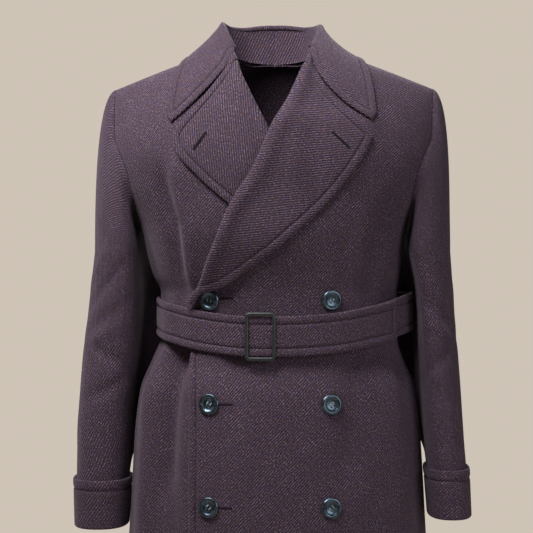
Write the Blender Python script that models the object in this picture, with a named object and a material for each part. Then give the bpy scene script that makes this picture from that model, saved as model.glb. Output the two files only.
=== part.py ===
"""Belted double-breasted overcoat in its worn, hollow form.

Metres, +Z up. +X is the wearer's left, the front faces -Y, and the origin is at the base of the neck.
Every piece of cloth is a thin wall that follows one base form, the coat's own girth at each height.
"""
import math
from collections import namedtuple

import bmesh
import bpy
import numpy as np
from mathutils import Vector

# Cloth and gaps
CLOTH = 0.0025
DOUBLE_CLOTH = 0.0042
SEAM_GAP = 0.0003
LIE_GAP = 0.0009

# Shoulders and length
CHEST_LEVEL = -0.200
SHOULDER_LEVEL = 0.0153
SHOULDER_SLOPE = 0.42
SHOULDER_EASE = 0.07
SLOPE_START = -0.25
HEM_LEVEL = -1.10
NECK_HALF_WIDTH = 0.072
BACK_NECK_DEGREES = 61.0
SIDE_SEAM_DEGREES = 95.0

# Overlap of the two fronts
FRONT_EDGE = 0.112
OVERLAP_RISE = 0.0039
LAPEL_RISE = 0.0056
LAPEL_FOOT_RISE = 0.0062
LAPEL_ROLL = 0.0040

# Belt and buckle
BELT_WIDTH = 0.056
BELT_SIDE_LEVEL = -0.3945
BELT_FRONT_DIP = 0.0245
BELT_LIFT = 0.0043
BELT_REST = 0.0008
BELT_EASE = 0.0017
BELT_STAND_OFF = 0.0165
BELT_LEFT_RISE = 0.0075
STRAP_END_DEGREES = 62.0
BUCKLE_X = -0.013
BUCKLE_WIDTH = 0.043
BUCKLE_HEIGHT = 0.067
BUCKLE_BAR = 0.0052
BUCKLE_DEPTH = 0.0032

# Buttons
BUTTON_RADIUS = 0.0145
BUTTON_COLUMN = 0.0835
BUTTON_SEAT = 0.0002
BUTTON_LEVELS = (-0.3690, -0.5130, -0.6540)

# Cuffs
CUFF_DEPTH = 0.068
CUFF_WALL = 0.0040

# The coat's girth: height, half of its width, reach to the front and back, squareness of the ring, and how
# much farther the wearer's left side stands out
Girth = namedtuple("Girth", "level half_width front back squareness left_more")
GIRTHS = (
    Girth(-1.10, 0.248, 0.190, 0.198, 2.10, 0.0060),
    Girth(-0.90, 0.228, 0.176, 0.182, 2.10, 0.0090),
    Girth(-0.715, 0.213, 0.165, 0.166, 2.15, 0.0115),
    Girth(-0.63, 0.208, 0.161, 0.158, 2.20, 0.0120),
    Girth(-0.56, 0.204, 0.156, 0.150, 2.20, 0.0115),
    Girth(-0.50, 0.196, 0.150, 0.141, 2.20, 0.0120),
    Girth(-0.455, 0.1775, 0.1390, 0.1255, 2.20, 0.0125),
    Girth(-0.425, 0.1662, 0.1381, 0.1245, 2.20, 0.0166),
    Girth(-0.40, 0.1655, 0.138, 0.124, 2.20, 0.0170),
    Girth(-0.36, 0.1662, 0.1395, 0.1255, 2.20, 0.0160),
    Girth(-0.337, 0.1765, 0.1434, 0.1303, 2.20, 0.0100),
    Girth(-0.31, 0.1845, 0.1480, 0.1360, 2.20, 0.0055),
    Girth(-0.27, 0.193, 0.153, 0.142, 2.25, 0.0020),
    Girth(-0.20, 0.222, 0.150, 0.145, 2.30, 0.0000),
    Girth(-0.12, 0.238, 0.150, 0.145, 2.30, 0.0000),
    Girth(0.0153, 0.245, 0.150, 0.145, 2.30, 0.0000),
)

# The roll line, from the neck down to the belt: height and distance over from the centre
Roll = namedtuple("Roll", "height across")
ROLL_LINE = (
    Roll(-0.383, -FRONT_EDGE),
    Roll(-0.368, -0.109),
    Roll(-0.352, -0.100),
    Roll(-0.300, -0.079),
    Roll(-0.234, -0.051),
    Roll(-0.185, -0.026),
    Roll(-0.134, -0.004),
    Roll(-0.100, 0.012),
    Roll(-0.050, 0.037),
    Roll(-0.022, 0.051),
    Roll(0.000, NECK_HALF_WIDTH),
)

# The armhole edge: height up the cloth, angle of the front edge and of the back edge
Armhole = namedtuple("Armhole", "girth front back")

# Large folds: where each stands round the coat at its top and foot, its span, breadth and height
Fold = namedtuple("Fold", "top_degrees foot_degrees top foot breadth height")
FOLDS = (
    Fold(-31.0, -37.5, -0.15, -0.365, 5.2, 0.0050),
    Fold(-40.0, -46.5, -0.18, -0.375, 5.0, -0.0065),
    Fold(50.0, 44.0, -0.22, -0.375, 7.0, -0.0040),
    Fold(118.0, 122.0, -0.22, -0.360, 8.0, 0.0050),
    Fold(-120.0, -124.0, -0.22, -0.360, 8.0, 0.0050),
    Fold(-46.0, -45.5, -0.41, -0.660, 5.0, -0.0100),
    Fold(-58.0, -60.0, -0.46, -1.100, 9.0, 0.0060),
    Fold(41.0, 30.0, -0.42, -0.625, 9.0, -0.0055),
    Fold(52.0, 55.0, -0.46, -1.100, 9.0, 0.0050),
    Fold(70.0, 74.0, -0.45, -0.900, 7.0, -0.0050),
    Fold(142.0, 146.0, -0.47, -1.100, 9.0, 0.0070),
    Fold(-140.0, -146.0, -0.47, -1.100, 9.0, 0.0070),
)

# Lapels seen from the front: where each row leaves the roll line, bends, and reaches the outer edge
Lapel = namedtuple("Lapel", "station fold_x fold_z bend_x bend_z edge_x edge_z")
TOP_LAPEL = (
    Lapel(0.00, 0.0505, -0.0235, 0.0755, -0.0675, 0.1370, -0.1275),
    Lapel(0.04, 0.0450, -0.0335, 0.0790, -0.0790, 0.1420, -0.1400),
    Lapel(0.10, 0.0370, -0.0490, 0.0800, -0.0960, 0.1360, -0.1520),
    Lapel(0.22, 0.0220, -0.0780, 0.0640, -0.1300, 0.1080, -0.1960),
    Lapel(0.38, -0.0030, -0.1320, 0.0350, -0.1850, 0.0720, -0.2400),
    Lapel(0.56, -0.0255, -0.1850, 0.0030, -0.2330, 0.0280, -0.2800),
    Lapel(0.74, -0.0505, -0.2340, -0.0350, -0.2720, -0.0200, -0.3180),
    Lapel(0.88, -0.0785, -0.3000, -0.0700, -0.3260, -0.0600, -0.3460),
    Lapel(0.96, -0.1000, -0.3520, -0.0970, -0.3565, -0.0930, -0.3605),
    Lapel(1.00, -0.1100, -0.3720, -0.1075, -0.3735, -0.1040, -0.3740),
)
LOWER_LAPEL = (
    Lapel(0.00, 0.0505, -0.0235, 0.0745, -0.0675, 0.1290, -0.1275),
    Lapel(0.05, 0.0450, -0.0335, 0.0780, -0.0790, 0.1370, -0.1420),
    Lapel(0.16, 0.0370, -0.0490, 0.0780, -0.0960, 0.1290, -0.1640),
    Lapel(0.40, 0.0200, -0.0820, 0.0600, -0.1330, 0.0960, -0.2010),
    Lapel(0.72, -0.0030, -0.1320, 0.0260, -0.1800, 0.0530, -0.2400),
    Lapel(1.00, -0.0140, -0.1620, 0.0090, -0.2120, 0.0340, -0.2600),
)

# Collar from centre back to its front end: fold, bend and edge, each as distance over and degrees
# over the shoulder from the chest (90 is the shoulder seam), with the height of the fold and bend
Collar = namedtuple(
    "Collar", "station fold_x fold_turn fold_lift bend_x bend_turn bend_lift edge_x edge_turn"
)
COLLAR = (
    Collar(0.00, 0.0000, 112.5, 0.0510, 0.0000, 119.5, 0.0330, 0.0000, 130.0),
    Collar(0.20, 0.0330, 111.0, 0.0495, 0.0435, 117.5, 0.0310, 0.0520, 128.0),
    Collar(0.40, 0.0580, 105.0, 0.0450, 0.0760, 109.0, 0.0240, 0.0980, 115.0),
    Collar(0.58, 0.0660, 95.0, 0.0385, 0.0920, 94.0, 0.0165, 0.1260, 92.0),
    Collar(0.72, 0.0650, 84.0, 0.0270, 0.0985, 76.0, 0.0100, 0.1370, 68.0),
    Collar(0.84, 0.0605, 74.0, 0.0150, 0.0980, 62.0, 0.0055, 0.1440, 49.5),
    Collar(0.94, 0.0550, 66.0, 0.0080, 0.0860, 50.0, 0.0030, 0.1470, 35.5),
    Collar(1.00, 0.0512, 61.6, 0.0050, 0.0770, 44.3, 0.0020, 0.1395, 30.4),
)

# The wearer's left half lies lower on the shoulder
LEFT_COLLAR = COLLAR[:2] + (
    Collar(0.40, 0.0550, 105.0, 0.0440, 0.0740, 109.0, 0.0200, 0.0980, 115.0),
    Collar(0.58, 0.0620, 95.0, 0.0320, 0.0900, 94.0, 0.0090, 0.1260, 92.0),
    Collar(0.72, 0.0630, 84.0, 0.0215, 0.0975, 76.0, 0.0055, 0.1370, 68.0),
    Collar(0.84, 0.0600, 74.0, 0.0125, 0.0980, 62.0, 0.0035, 0.1440, 49.5),
) + COLLAR[6:]

# The neck seam, from centre back to the front end of the collar
Neck = namedtuple("Neck", "station across turn")
NECK_SEAM = (
    Neck(0.00, 0.0000, 118.0),
    Neck(0.20, 0.0330, 116.0),
    Neck(0.40, 0.0610, 107.0),
    Neck(0.58, 0.0725, 94.0),
    Neck(0.72, 0.0705, 84.0),
    Neck(0.84, 0.0650, 75.0),
    Neck(0.94, 0.0590, 67.0),
    Neck(1.00, 0.0560, 63.0),
)

# Sleeves: height, inner and outer side, middle and half of the depth, curl of the section round the body,
# fullness of the hind side towards the body
Sleeve = namedtuple("Sleeve", "level inner outer middle half_depth curl hind")
LEFT_SLEEVE = (
    Sleeve(-0.6800, 0.2295, 0.2835, -0.024, 0.057, 0.000, 0.000),
    Sleeve(-0.6100, 0.2240, 0.2810, -0.018, 0.061, 0.001, 0.000),
    Sleeve(-0.5700, 0.2205, 0.2780, -0.012, 0.065, 0.002, 0.014),
    Sleeve(-0.5000, 0.2150, 0.2740, -0.004, 0.070, 0.004, 0.022),
    Sleeve(-0.4300, 0.2120, 0.2695, 0.002, 0.075, 0.007, 0.034),
    Sleeve(-0.3700, 0.2100, 0.2650, 0.004, 0.079, 0.011, 0.031),
    Sleeve(-0.3000, 0.1975, 0.2595, 0.002, 0.083, 0.014, 0.014),
)
RIGHT_SLEEVE = (
    Sleeve(-0.6975, 0.2170, 0.2860, -0.020, 0.054, 0.000, 0.000),
    Sleeve(-0.6300, 0.2130, 0.2880, -0.016, 0.059, 0.001, 0.002),
    Sleeve(-0.5700, 0.2090, 0.2880, -0.011, 0.063, 0.002, 0.021),
    Sleeve(-0.5000, 0.2045, 0.2845, -0.004, 0.069, 0.004, 0.029),
    Sleeve(-0.4300, 0.1960, 0.2795, 0.002, 0.074, 0.008, 0.034),
    Sleeve(-0.3700, 0.1940, 0.2720, 0.004, 0.079, 0.012, 0.028),
    Sleeve(-0.3000, 0.1975, 0.2640, 0.002, 0.083, 0.014, 0.014),
)

# Where the fullness of a sleeve's hind side lies round it, from its outer side by way of the front
HIND_START = math.radians(180.0)
HIND_END = math.radians(305.0)

# Profile of a button from its foot to the middle of its face: share of the radius, height
Turning = namedtuple("Turning", "radius height")
BUTTON_PROFILE = (
    Turning(0.55, 0.0000),
    Turning(0.95, 0.0012),
    Turning(1.00, 0.0026),
    Turning(0.90, 0.0042),
    Turning(0.72, 0.0036),
    Turning(0.55, 0.0026),
)

TOP_GIRTH = CHEST_LEVEL + (SHOULDER_LEVEL - CHEST_LEVEL) * math.pi / 2


def over_shoulder(degrees):
    """Gives the height up the cloth of a line so many degrees over the shoulder from the chest."""
    return CHEST_LEVEL + (SHOULDER_LEVEL - CHEST_LEVEL) * np.radians(degrees)


ARMHOLE = (
    Armhole(-0.262, SIDE_SEAM_DEGREES, SIDE_SEAM_DEGREES),
    Armhole(-0.248, 79.0, 110.0),
    Armhole(-0.215, 66.0, 117.0),
    Armhole(-0.170, 63.5, 117.0),
    Armhole(-0.125, 66.0, 114.0),
    Armhole(-0.080, 71.0, 109.0),
    Armhole(TOP_GIRTH, 71.0, 109.0),
)

BODY_LEVELS = (
    HEM_LEVEL, -1.00, -0.90, -0.80, -0.72, -0.65, -0.59, -0.54, -0.50,
    -0.47, -0.44, -0.41, -0.385, -0.36, -0.335, -0.31, -0.285,
)
ARMHOLE_LEVELS = (-0.262, -0.248, -0.215)
SHOULDER_TURNS = (8.0, 20.0, 32.0, 44.0, 54.0, 61.0, 68.0, 75.0, 82.0, 90.0)
ARMHOLE_GIRTHS = ARMHOLE_LEVELS + tuple(float(over_shoulder(turn)) for turn in SHOULDER_TURNS)
PANEL_GIRTHS = BODY_LEVELS + ARMHOLE_GIRTHS


def along(rows, key, at, column):
    """Reads one column of a table between its rows as a smooth curve that does not overshoot."""
    place = np.array([getattr(row, key) for row in rows], dtype=float)
    value = np.array([getattr(row, column) for row in rows], dtype=float)
    step = np.diff(place)
    slope = np.diff(value) / step
    product = slope[:-1] * slope[1:]
    total = slope[:-1] + slope[1:]
    inner = np.where(product > 0, 2 * product / np.where(total == 0, 1, total), 0)
    tangent = np.concatenate([slope[:1], inner, slope[-1:]])
    at = np.clip(at, place[0], place[-1])
    row = np.clip(np.searchsorted(place, at, side="right") - 1, 0, len(step) - 1)
    share = (at - place[row]) / step[row]
    rest = 1 - share
    return (
        value[row] * (1 + 2 * share) * rest ** 2
        + value[row + 1] * share ** 2 * (3 - 2 * share)
        + step[row] * (tangent[row] * share * rest ** 2 - tangent[row + 1] * share ** 2 * rest)
    )


def ease(value, start, end):
    """Rises softly from 0 at start to 1 at end."""
    share = np.clip((value - start) / (end - start), 0, 1)
    return share * share * (3 - 2 * share)


def shoulder_drop(level, across):
    """Gives how far a ring falls away sideways to follow the slope of the shoulder."""
    slope = SHOULDER_SLOPE * ease(level, SLOPE_START, SHOULDER_LEVEL)
    return slope * across ** 2 / (np.abs(across) + SHOULDER_EASE)


def fold_height(degrees, level):
    """Gives the height of the large folds at a place round the coat."""
    height = np.zeros(np.broadcast(degrees, level).shape)
    for fold in FOLDS:
        share = np.clip((fold.top - level) / (fold.top - fold.foot), 0, 1)
        middle = fold.top_degrees + (fold.foot_degrees - fold.top_degrees) * share
        fade = ease(level, fold.top + 0.03, fold.top - 0.05)
        if fold.foot > HEM_LEVEL:
            fade = fade * ease(level, fold.foot - 0.02, fold.foot + 0.06)
        apart = (degrees - middle + 180) % 360 - 180
        height = height + fold.height * fade * np.exp(-(apart / fold.breadth) ** 2)
    return height


def half_girth(level, way):
    """Gives half of the coat's width on the side that the sign of way names."""
    more = along(GIRTHS, "level", level, "left_more")
    return along(GIRTHS, "level", level, "half_width") + np.where(way > 0, more, 0.0)


def torso(angle, girth):
    """Gives points of the base form at an angle round from centre front and a height up the cloth."""
    angle, girth = np.broadcast_arrays(np.asarray(angle, float), np.asarray(girth, float))
    turn = np.clip((girth - CHEST_LEVEL) / (SHOULDER_LEVEL - CHEST_LEVEL), 0, math.pi)
    level = np.where(girth > CHEST_LEVEL, CHEST_LEVEL + (SHOULDER_LEVEL - CHEST_LEVEL) * np.sin(turn), girth)
    power = 2 / along(GIRTHS, "level", level, "squareness")
    forward = np.cos(angle) * np.cos(turn)
    reach = np.where(
        forward >= 0, along(GIRTHS, "level", level, "front"), along(GIRTHS, "level", level, "back")
    )
    half_width = half_girth(level, np.sin(angle))
    side = np.sign(np.sin(angle)) * np.abs(np.sin(angle)) ** power
    depth = np.sign(np.cos(angle)) * np.abs(np.cos(angle)) ** power
    fold = fold_height(np.degrees(angle), level)
    x = half_width * side + fold * np.sin(angle)
    y = -reach * depth * np.cos(turn) - fold * np.cos(angle)
    z = level - shoulder_drop(level, half_width * side)
    return np.stack([x, y, z], axis=-1)


def outward(angle, girth):
    """Gives the outward direction of the base form."""
    small = 0.0015
    round_it = torso(angle + small, girth) - torso(angle - small, girth)
    up_it = torso(angle, girth + small) - torso(angle, girth - small)
    normal = np.cross(round_it, up_it)
    return normal / np.linalg.norm(normal, axis=-1, keepdims=True)


def lifted(angle, girth, lift):
    """Gives points of the base form moved out by a lift."""
    lift = np.broadcast_to(np.asarray(lift, float), np.broadcast(angle, girth).shape)
    return torso(angle, girth) + outward(angle, girth) * lift[..., None]


def ring_level(girth):
    """Gives the height of a ring before its sideways drop."""
    turn = np.clip((girth - CHEST_LEVEL) / (SHOULDER_LEVEL - CHEST_LEVEL), 0, math.pi)
    return np.where(girth > CHEST_LEVEL, CHEST_LEVEL + (SHOULDER_LEVEL - CHEST_LEVEL) * np.sin(turn), girth)


def angle_at(across, girth):
    """Gives the angle round the coat of a point so far over from the centre."""
    level = ring_level(girth)
    share = np.clip(np.abs(across) / half_girth(level, across), 0, 1)
    return np.sign(across) * np.arcsin(share ** (along(GIRTHS, "level", level, "squareness") / 2))


def girth_at(across, height):
    """Gives the height up the cloth of a point of the front seen from in front."""
    level = np.asarray(height, float)
    for _ in range(12):
        level = height + shoulder_drop(level, across)
    share = np.clip((level - CHEST_LEVEL) / (SHOULDER_LEVEL - CHEST_LEVEL), 0, 1)
    return np.where(
        level > CHEST_LEVEL, CHEST_LEVEL + (SHOULDER_LEVEL - CHEST_LEVEL) * np.arcsin(share), level
    )


def overlap_lift(across, height):
    """Gives how far the over front is lifted by the under front and the lower lapel beneath it."""
    below_cross = 1 - ease(height, -0.128, -0.090)
    on_front = 1 - ease(across, 0.120, 0.165)
    on_lapel = (1 - ease(across, 0.028, 0.065)) * ease(height, -0.345, -0.285)
    return below_cross * (OVERLAP_RISE * on_front + LAPEL_RISE * on_lapel)


def material(name, colour, roughness, metallic=0.0):
    """Makes a plain material, or gives the one already made."""
    made = bpy.data.materials.get(name)
    if made is None:
        made = bpy.data.materials.new(name)
        made.use_nodes = True
        shader = made.node_tree.nodes["Principled BSDF"]
        shader.inputs["Base Color"].default_value = (*colour, 1.0)
        shader.inputs["Roughness"].default_value = roughness
        shader.inputs["Metallic"].default_value = metallic
    return made


def wool():
    """The coat's own cloth."""
    return material("wool_twill", (0.080, 0.052, 0.068), 0.92)


def facing():
    """The same cloth on the turned-back pieces."""
    return material("wool_facing", (0.080, 0.052, 0.068), 0.92)


def horn():
    """Dark horn of the buttons."""
    return material("horn", (0.012, 0.013, 0.015), 0.22)


def covered_metal():
    """Dark covered frame of the buckle."""
    return material("buckle_cover", (0.018, 0.022, 0.020), 0.42)


def make_object(name, points, faces, look, smooth=True):
    """Makes one closed piece from points and faces."""
    mesh = bpy.data.meshes.new(name)
    mesh.from_pydata([tuple(map(float, point)) for point in points], [], faces)
    sheet = bmesh.new()
    sheet.from_mesh(mesh)
    bmesh.ops.recalc_face_normals(sheet, faces=sheet.faces)
    bmesh.ops.triangulate(sheet, faces=sheet.faces)
    sheet.to_mesh(mesh)
    sheet.free()
    for polygon in mesh.polygons:
        polygon.use_smooth = smooth
    mesh.materials.append(look)
    made = bpy.data.objects.new(name, mesh)
    bpy.context.collection.objects.link(made)
    return made


def wall(name, outer, inner, look, ring=False):
    """Closes two grids of points, an outer and an inner skin, into one wall."""
    rows, columns = outer.shape[:2]
    points = np.concatenate([outer.reshape(-1, 3), inner.reshape(-1, 3)])
    half = rows * columns
    faces = []
    last = columns if ring else columns - 1
    for row in range(rows - 1):
        for column in range(last):
            after = (column + 1) % columns
            a = row * columns + column
            b = row * columns + after
            c = (row + 1) * columns + after
            d = (row + 1) * columns + column
            faces.append((a, b, c, d))
            faces.append((half + d, half + c, half + b, half + a))
    for row in (0, rows - 1):
        for column in range(last):
            a = row * columns + column
            b = row * columns + (column + 1) % columns
            faces.append((a, b, half + b, half + a))
    if not ring:
        for column in (0, columns - 1):
            for row in range(rows - 1):
                a = row * columns + column
                b = (row + 1) * columns + column
                faces.append((a, b, half + b, half + a))
    return make_object(name, points, faces, look)


def roll_angle(girth, side):
    """Gives the angle of a front's inner edge, the roll line and then the straight front edge."""
    across = np.zeros(np.shape(girth))
    for _ in range(24):
        height = ring_level(girth) - shoulder_drop(ring_level(girth), across)
        across = 0.5 * across + 0.5 * along(ROLL_LINE, "height", height, "across")
    return side * angle_at(across, girth)


def seam_angle(girth, column):
    """Gives the angle of the armhole edge, or of the side seam below it."""
    return np.radians(along(ARMHOLE, "girth", girth, column))


def front_panel(name, side, columns=15):
    """Builds one front, side 1 for the wearer's left, which laps over, and -1 for the right."""
    girth = np.array(PANEL_GIRTHS)
    inner_edge = roll_angle(girth, side)
    gap = SEAM_GAP / 2 / 0.19
    outer_edge = side * (seam_angle(girth, "front") - gap)
    share = np.linspace(0, 1, columns)
    angle = inner_edge[:, None] + (outer_edge - inner_edge)[:, None] * share[None, :]
    rows = np.repeat(girth[:, None], columns, axis=1)
    lift = np.zeros(angle.shape)
    if side > 0:
        seen = torso(angle, rows)
        lift = overlap_lift(seen[..., 0], seen[..., 2])
    outer = lifted(angle, rows, lift)
    inner = lifted(angle, rows, lift - CLOTH)
    outer[-1, :, 1] -= SEAM_GAP
    inner[-1, :, 1] -= SEAM_GAP
    wall(name, outer, inner, wool())


def back_panel(name, side, columns=9):
    """Builds one half of the back."""
    girth = np.array(PANEL_GIRTHS)
    neck = over_shoulder(BACK_NECK_DEGREES)
    share_up = np.clip((TOP_GIRTH - girth) / (TOP_GIRTH - neck), 0, 1)
    across = NECK_HALF_WIDTH * np.sqrt(1 - share_up ** 2)
    gap = SEAM_GAP / 2 / 0.14
    inner_edge = math.pi - np.maximum(angle_at(across, girth), gap)
    outer_edge = seam_angle(girth, "back") + SEAM_GAP / 2 / 0.19
    share = np.linspace(0, 1, columns)
    angle = side * (inner_edge[:, None] + (outer_edge - inner_edge)[:, None] * share[None, :])
    rows = np.repeat(girth[:, None], columns, axis=1)
    outer = lifted(angle, rows, 0.0)
    inner = lifted(angle, rows, -CLOTH)
    outer[-1, :, 1] += SEAM_GAP
    inner[-1, :, 1] += SEAM_GAP
    wall(name, outer, inner, wool())


def bent(start, middle, end, share):
    """Runs smoothly from start to end by way of a middle point."""
    bow = middle - (start + end) / 2
    return start + (end - start) * share + 4 * bow * share * (1 - share)


def lapel(name, table, side, rows=17, columns=8):
    """Builds one turned-back lapel lying on its front."""
    station = np.linspace(0, 1, rows)[:, None]
    share = np.linspace(0, 1, columns)[None, :]
    read = {field: along(table, "station", station, field) for field in Lapel._fields[1:]}
    across = bent(read["fold_x"], read["bend_x"], read["edge_x"], share)
    height = bent(read["fold_z"], read["bend_z"], read["edge_z"], share)
    girth = girth_at(across, height)
    angle = side * angle_at(across, girth)
    under = overlap_lift(across, height) if side > 0 else np.zeros(across.shape)
    if side > 0:
        roll = LAPEL_ROLL * (1 - share) ** 2 * (1 - ease(station, 0.8, 1.0))
        roll = roll + LAPEL_FOOT_RISE * ease(station, 0.78, 0.89)
    else:
        roll = LAPEL_ROLL * (1 - share) ** 2 * (1 - ease(station, 0.25, 0.60))
    inner = lifted(angle, girth, under + LIE_GAP + roll)
    outer = lifted(angle, girth, under + LIE_GAP + roll + DOUBLE_CLOTH)
    wall(name, outer, inner, facing())


def read_collar(station):
    """Reads every column of the collar, station -1 at the wearer's right end and 1 at the left end."""
    read = {}
    for field in Collar._fields[1:]:
        right = along(COLLAR, "station", np.abs(station), field)
        left = along(LEFT_COLLAR, "station", np.abs(station), field)
        read[field] = np.where(station > 0, left, right)
    return read


def collar_fall(name, rows=37, columns=8):
    """Builds the part of the collar that lies on the shoulders, from one front end round to the other."""
    station = np.linspace(-1, 1, rows)[:, None]
    side = np.where(station < 0, -1.0, 1.0)
    share = np.linspace(0, 1, columns)[None, :]
    read = read_collar(station)
    across = side * bent(read["fold_x"], read["bend_x"], read["edge_x"], share)
    turn = bent(read["fold_turn"], read["bend_turn"], read["edge_turn"], share)
    lift = LIE_GAP + np.maximum(bent(read["fold_lift"], read["bend_lift"], 0.0, share), 0)
    girth = over_shoulder(turn)
    angle = angle_at(across, girth)
    seen = torso(angle, girth)
    lift = lift + np.where((side > 0) & (turn < 90), overlap_lift(seen[..., 0], seen[..., 2]), 0.0)
    inner = lifted(angle, girth, lift)
    outer = lifted(angle, girth, lift + DOUBLE_CLOTH * 0.8)
    wall(name, outer, inner, facing())


def collar_stand(name, rows=31, columns=4):
    """Builds the upright band between the neck seam and the fold of the collar."""
    station = np.linspace(-0.93, 0.93, rows)[:, None]
    side = np.where(station < 0, -1.0, 1.0)
    share = np.linspace(0, 1, columns)[None, :]
    read = read_collar(station)
    neck_turn = along(NECK_SEAM, "station", np.abs(station), "turn")
    neck_x = along(NECK_SEAM, "station", np.abs(station), "across")
    top_x = read["fold_x"] - 0.0042
    top_x = np.maximum(top_x, 0.0) * np.where(read["fold_x"] > 0, 1, 0)
    across = side * (neck_x + (top_x - neck_x) * share)
    turn = neck_turn + (read["fold_turn"] - neck_turn) * share
    lift = 0.0012 + (read["fold_lift"] - 0.0045 - 0.0012) * share
    girth = over_shoulder(turn)
    angle = angle_at(across, girth)
    inner = lifted(angle, girth, lift)
    grid_normal = sheet_normals(inner)
    wall(name, inner + grid_normal * CLOTH / 2, inner - grid_normal * CLOTH / 2, facing())


def sheet_normals(grid, ring=False):
    """Gives the direction square to a grid of points at each of them."""
    up = np.gradient(grid, axis=0)
    if ring:
        over = (np.roll(grid, -1, axis=1) - np.roll(grid, 1, axis=1)) / 2
    else:
        over = np.gradient(grid, axis=1)
    normal = np.cross(over, up)
    return normal / np.linalg.norm(normal, axis=-1, keepdims=True)


def armhole_loop():
    """Gives the left armhole as a loop, from the shoulder down the front and up the back."""
    girth = np.array(ARMHOLE_GIRTHS)
    front = torso(seam_angle(girth, "front"), girth)
    back = torso(seam_angle(girth, "back"), girth)
    return np.concatenate([front[::-1], back[1:-1]])


def sleeve_grid(table, rows_cap=6, rows_tube=11):
    """Gives the outer skin of a sleeve of the wearer's left side as closed rings from the armhole down."""
    loop = armhole_loop()
    count = len(loop)
    foot = len(ARMHOLE_GIRTHS) - 1
    step = np.linalg.norm(np.roll(loop, -1, axis=0) - loop, axis=1)
    travelled = np.concatenate([[0.0], np.cumsum(step)])
    angle = np.where(
        np.arange(count) <= foot,
        math.pi * travelled[:count] / travelled[foot],
        math.pi + math.pi * (travelled[:count] - travelled[foot]) / (travelled[count] - travelled[foot]),
    )

    hind_turn = np.clip((angle - HIND_START) / (HIND_END - HIND_START), 0, 1)
    hind_share = np.sin(math.pi * hind_turn) ** 2

    def tube(level):
        inner = along(table, "level", level, "inner")
        outer = along(table, "level", level, "outer")
        x = (inner + outer) / 2 + (outer - inner) / 2 * np.sign(np.cos(angle)) * np.abs(np.cos(angle)) ** 0.85
        forth = np.sign(np.sin(angle)) * np.abs(np.sin(angle)) ** 0.85
        x = x - along(table, "level", level, "curl") * forth ** 2
        x = x - along(table, "level", level, "hind") * hind_share
        y = along(table, "level", level, "middle") - along(table, "level", level, "half_depth") * forth
        return np.stack([x, y, np.full(count, level)], axis=-1)

    top_level = table[-1].level
    start = loop + np.array([0.0006, 0.0, 0.0])
    landing = tube(top_level)
    rise = (start[:, 2] - top_level)[:, None]
    upper = 0.5 + 0.5 * np.cos(angle)[:, None]
    leave = start + np.array([1.0, 0.0, -0.28]) * (0.006 + 0.020 * upper)
    arrive = landing + np.array([0.0, 0.0, 1.0]) * rise * 0.45
    rings = []
    for share in np.linspace(0, 1, rows_cap + 1)[:-1]:
        rest = 1 - share
        rings.append(
            rest ** 3 * start + 3 * rest ** 2 * share * leave
            + 3 * rest * share ** 2 * arrive + share ** 3 * landing
        )
    for level in np.linspace(top_level, table[0].level, rows_tube):
        rings.append(tube(level))
    return np.stack(rings)


def sleeve_skins(table):
    """Gives the outer and inner skin of a sleeve."""
    outer = sleeve_grid(table)
    normal = sheet_normals(outer[::-1], ring=True)[::-1]
    middle = outer.mean(axis=1, keepdims=True)
    if ((outer - middle) * normal).sum() < 0:
        normal = -normal
    normal[0, :, 0] = 0.0
    normal[0] /= np.linalg.norm(normal[0], axis=-1, keepdims=True)
    return outer, outer - normal * CLOTH, normal


def take_columns(grid, columns):
    """Picks columns of a ring grid and draws the two outer ones in by half a seam gap."""
    part = grid[:, columns].copy()
    for end, beside in ((0, 1), (-1, -2)):
        way = part[:, beside] - part[:, end]
        part[:, end] += way / np.linalg.norm(way, axis=-1, keepdims=True) * (SEAM_GAP / 2 + 0.00005)
    return part


def sleeve(name, table, side):
    """Builds the top sleeve, the under sleeve and the turned-back cuff of one side."""
    outer, inner, normal = sleeve_skins(table)
    count = outer.shape[1]
    flip = np.array([side, 1.0, 1.0])
    fore_seam = 11
    hind_seam = count - 9
    top_columns = [column % count for column in range(hind_seam, count + fore_seam + 1)]
    under_columns = list(range(fore_seam, hind_seam + 1))
    for ending, columns in (("_top", top_columns), ("_under", under_columns)):
        wall(name + ending, take_columns(outer, columns) * flip, take_columns(inner, columns) * flip, wool())
    foot = outer[-1]
    foot_normal = normal[-2].copy()
    foot_normal[:, 2] = 0.0
    foot_normal /= np.linalg.norm(foot_normal, axis=-1, keepdims=True)
    levels = np.linspace(CUFF_DEPTH, -0.002, 5)
    lower = np.array([along_ring(outer, foot[0, 2] + level) for level in levels])
    cuff_inner = lower + foot_normal * LIE_GAP
    cuff_outer = lower + foot_normal * (LIE_GAP + CUFF_WALL)
    wall(name.replace("sleeve", "cuff"), cuff_outer * flip, cuff_inner * flip, facing(), ring=True)


def along_ring(grid, level):
    """Gives a level ring of a sleeve, run on straight past its foot."""
    upper = max(row for row in range(len(grid) - 1) if grid[row, 0, 2] >= level)
    share = (grid[upper, 0, 2] - level) / (grid[upper, 0, 2] - grid[upper + 1, 0, 2])
    return grid[upper] + (grid[upper + 1] - grid[upper]) * share


def belt_middle(angle):
    """Gives the height of the middle of the belt, which dips to the front and rises on the wearer's left."""
    rise = BELT_LEFT_RISE * np.maximum(np.sin(angle), 0) ** 6
    return BELT_SIDE_LEVEL + rise - BELT_FRONT_DIP * np.maximum(np.cos(angle), 0) ** 2


def belt_lift(angle):
    """Gives how far the inner face of the belt stands off the coat."""
    degrees = np.degrees(angle)
    on_front = ease(degrees, -75, -50) * (1 - ease(degrees, 50, 75))
    off_side = np.exp(-((degrees - 88) / 24) ** 2)
    return BELT_EASE + BELT_REST + (BELT_LIFT - BELT_REST) * on_front + BELT_STAND_OFF * off_side


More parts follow.
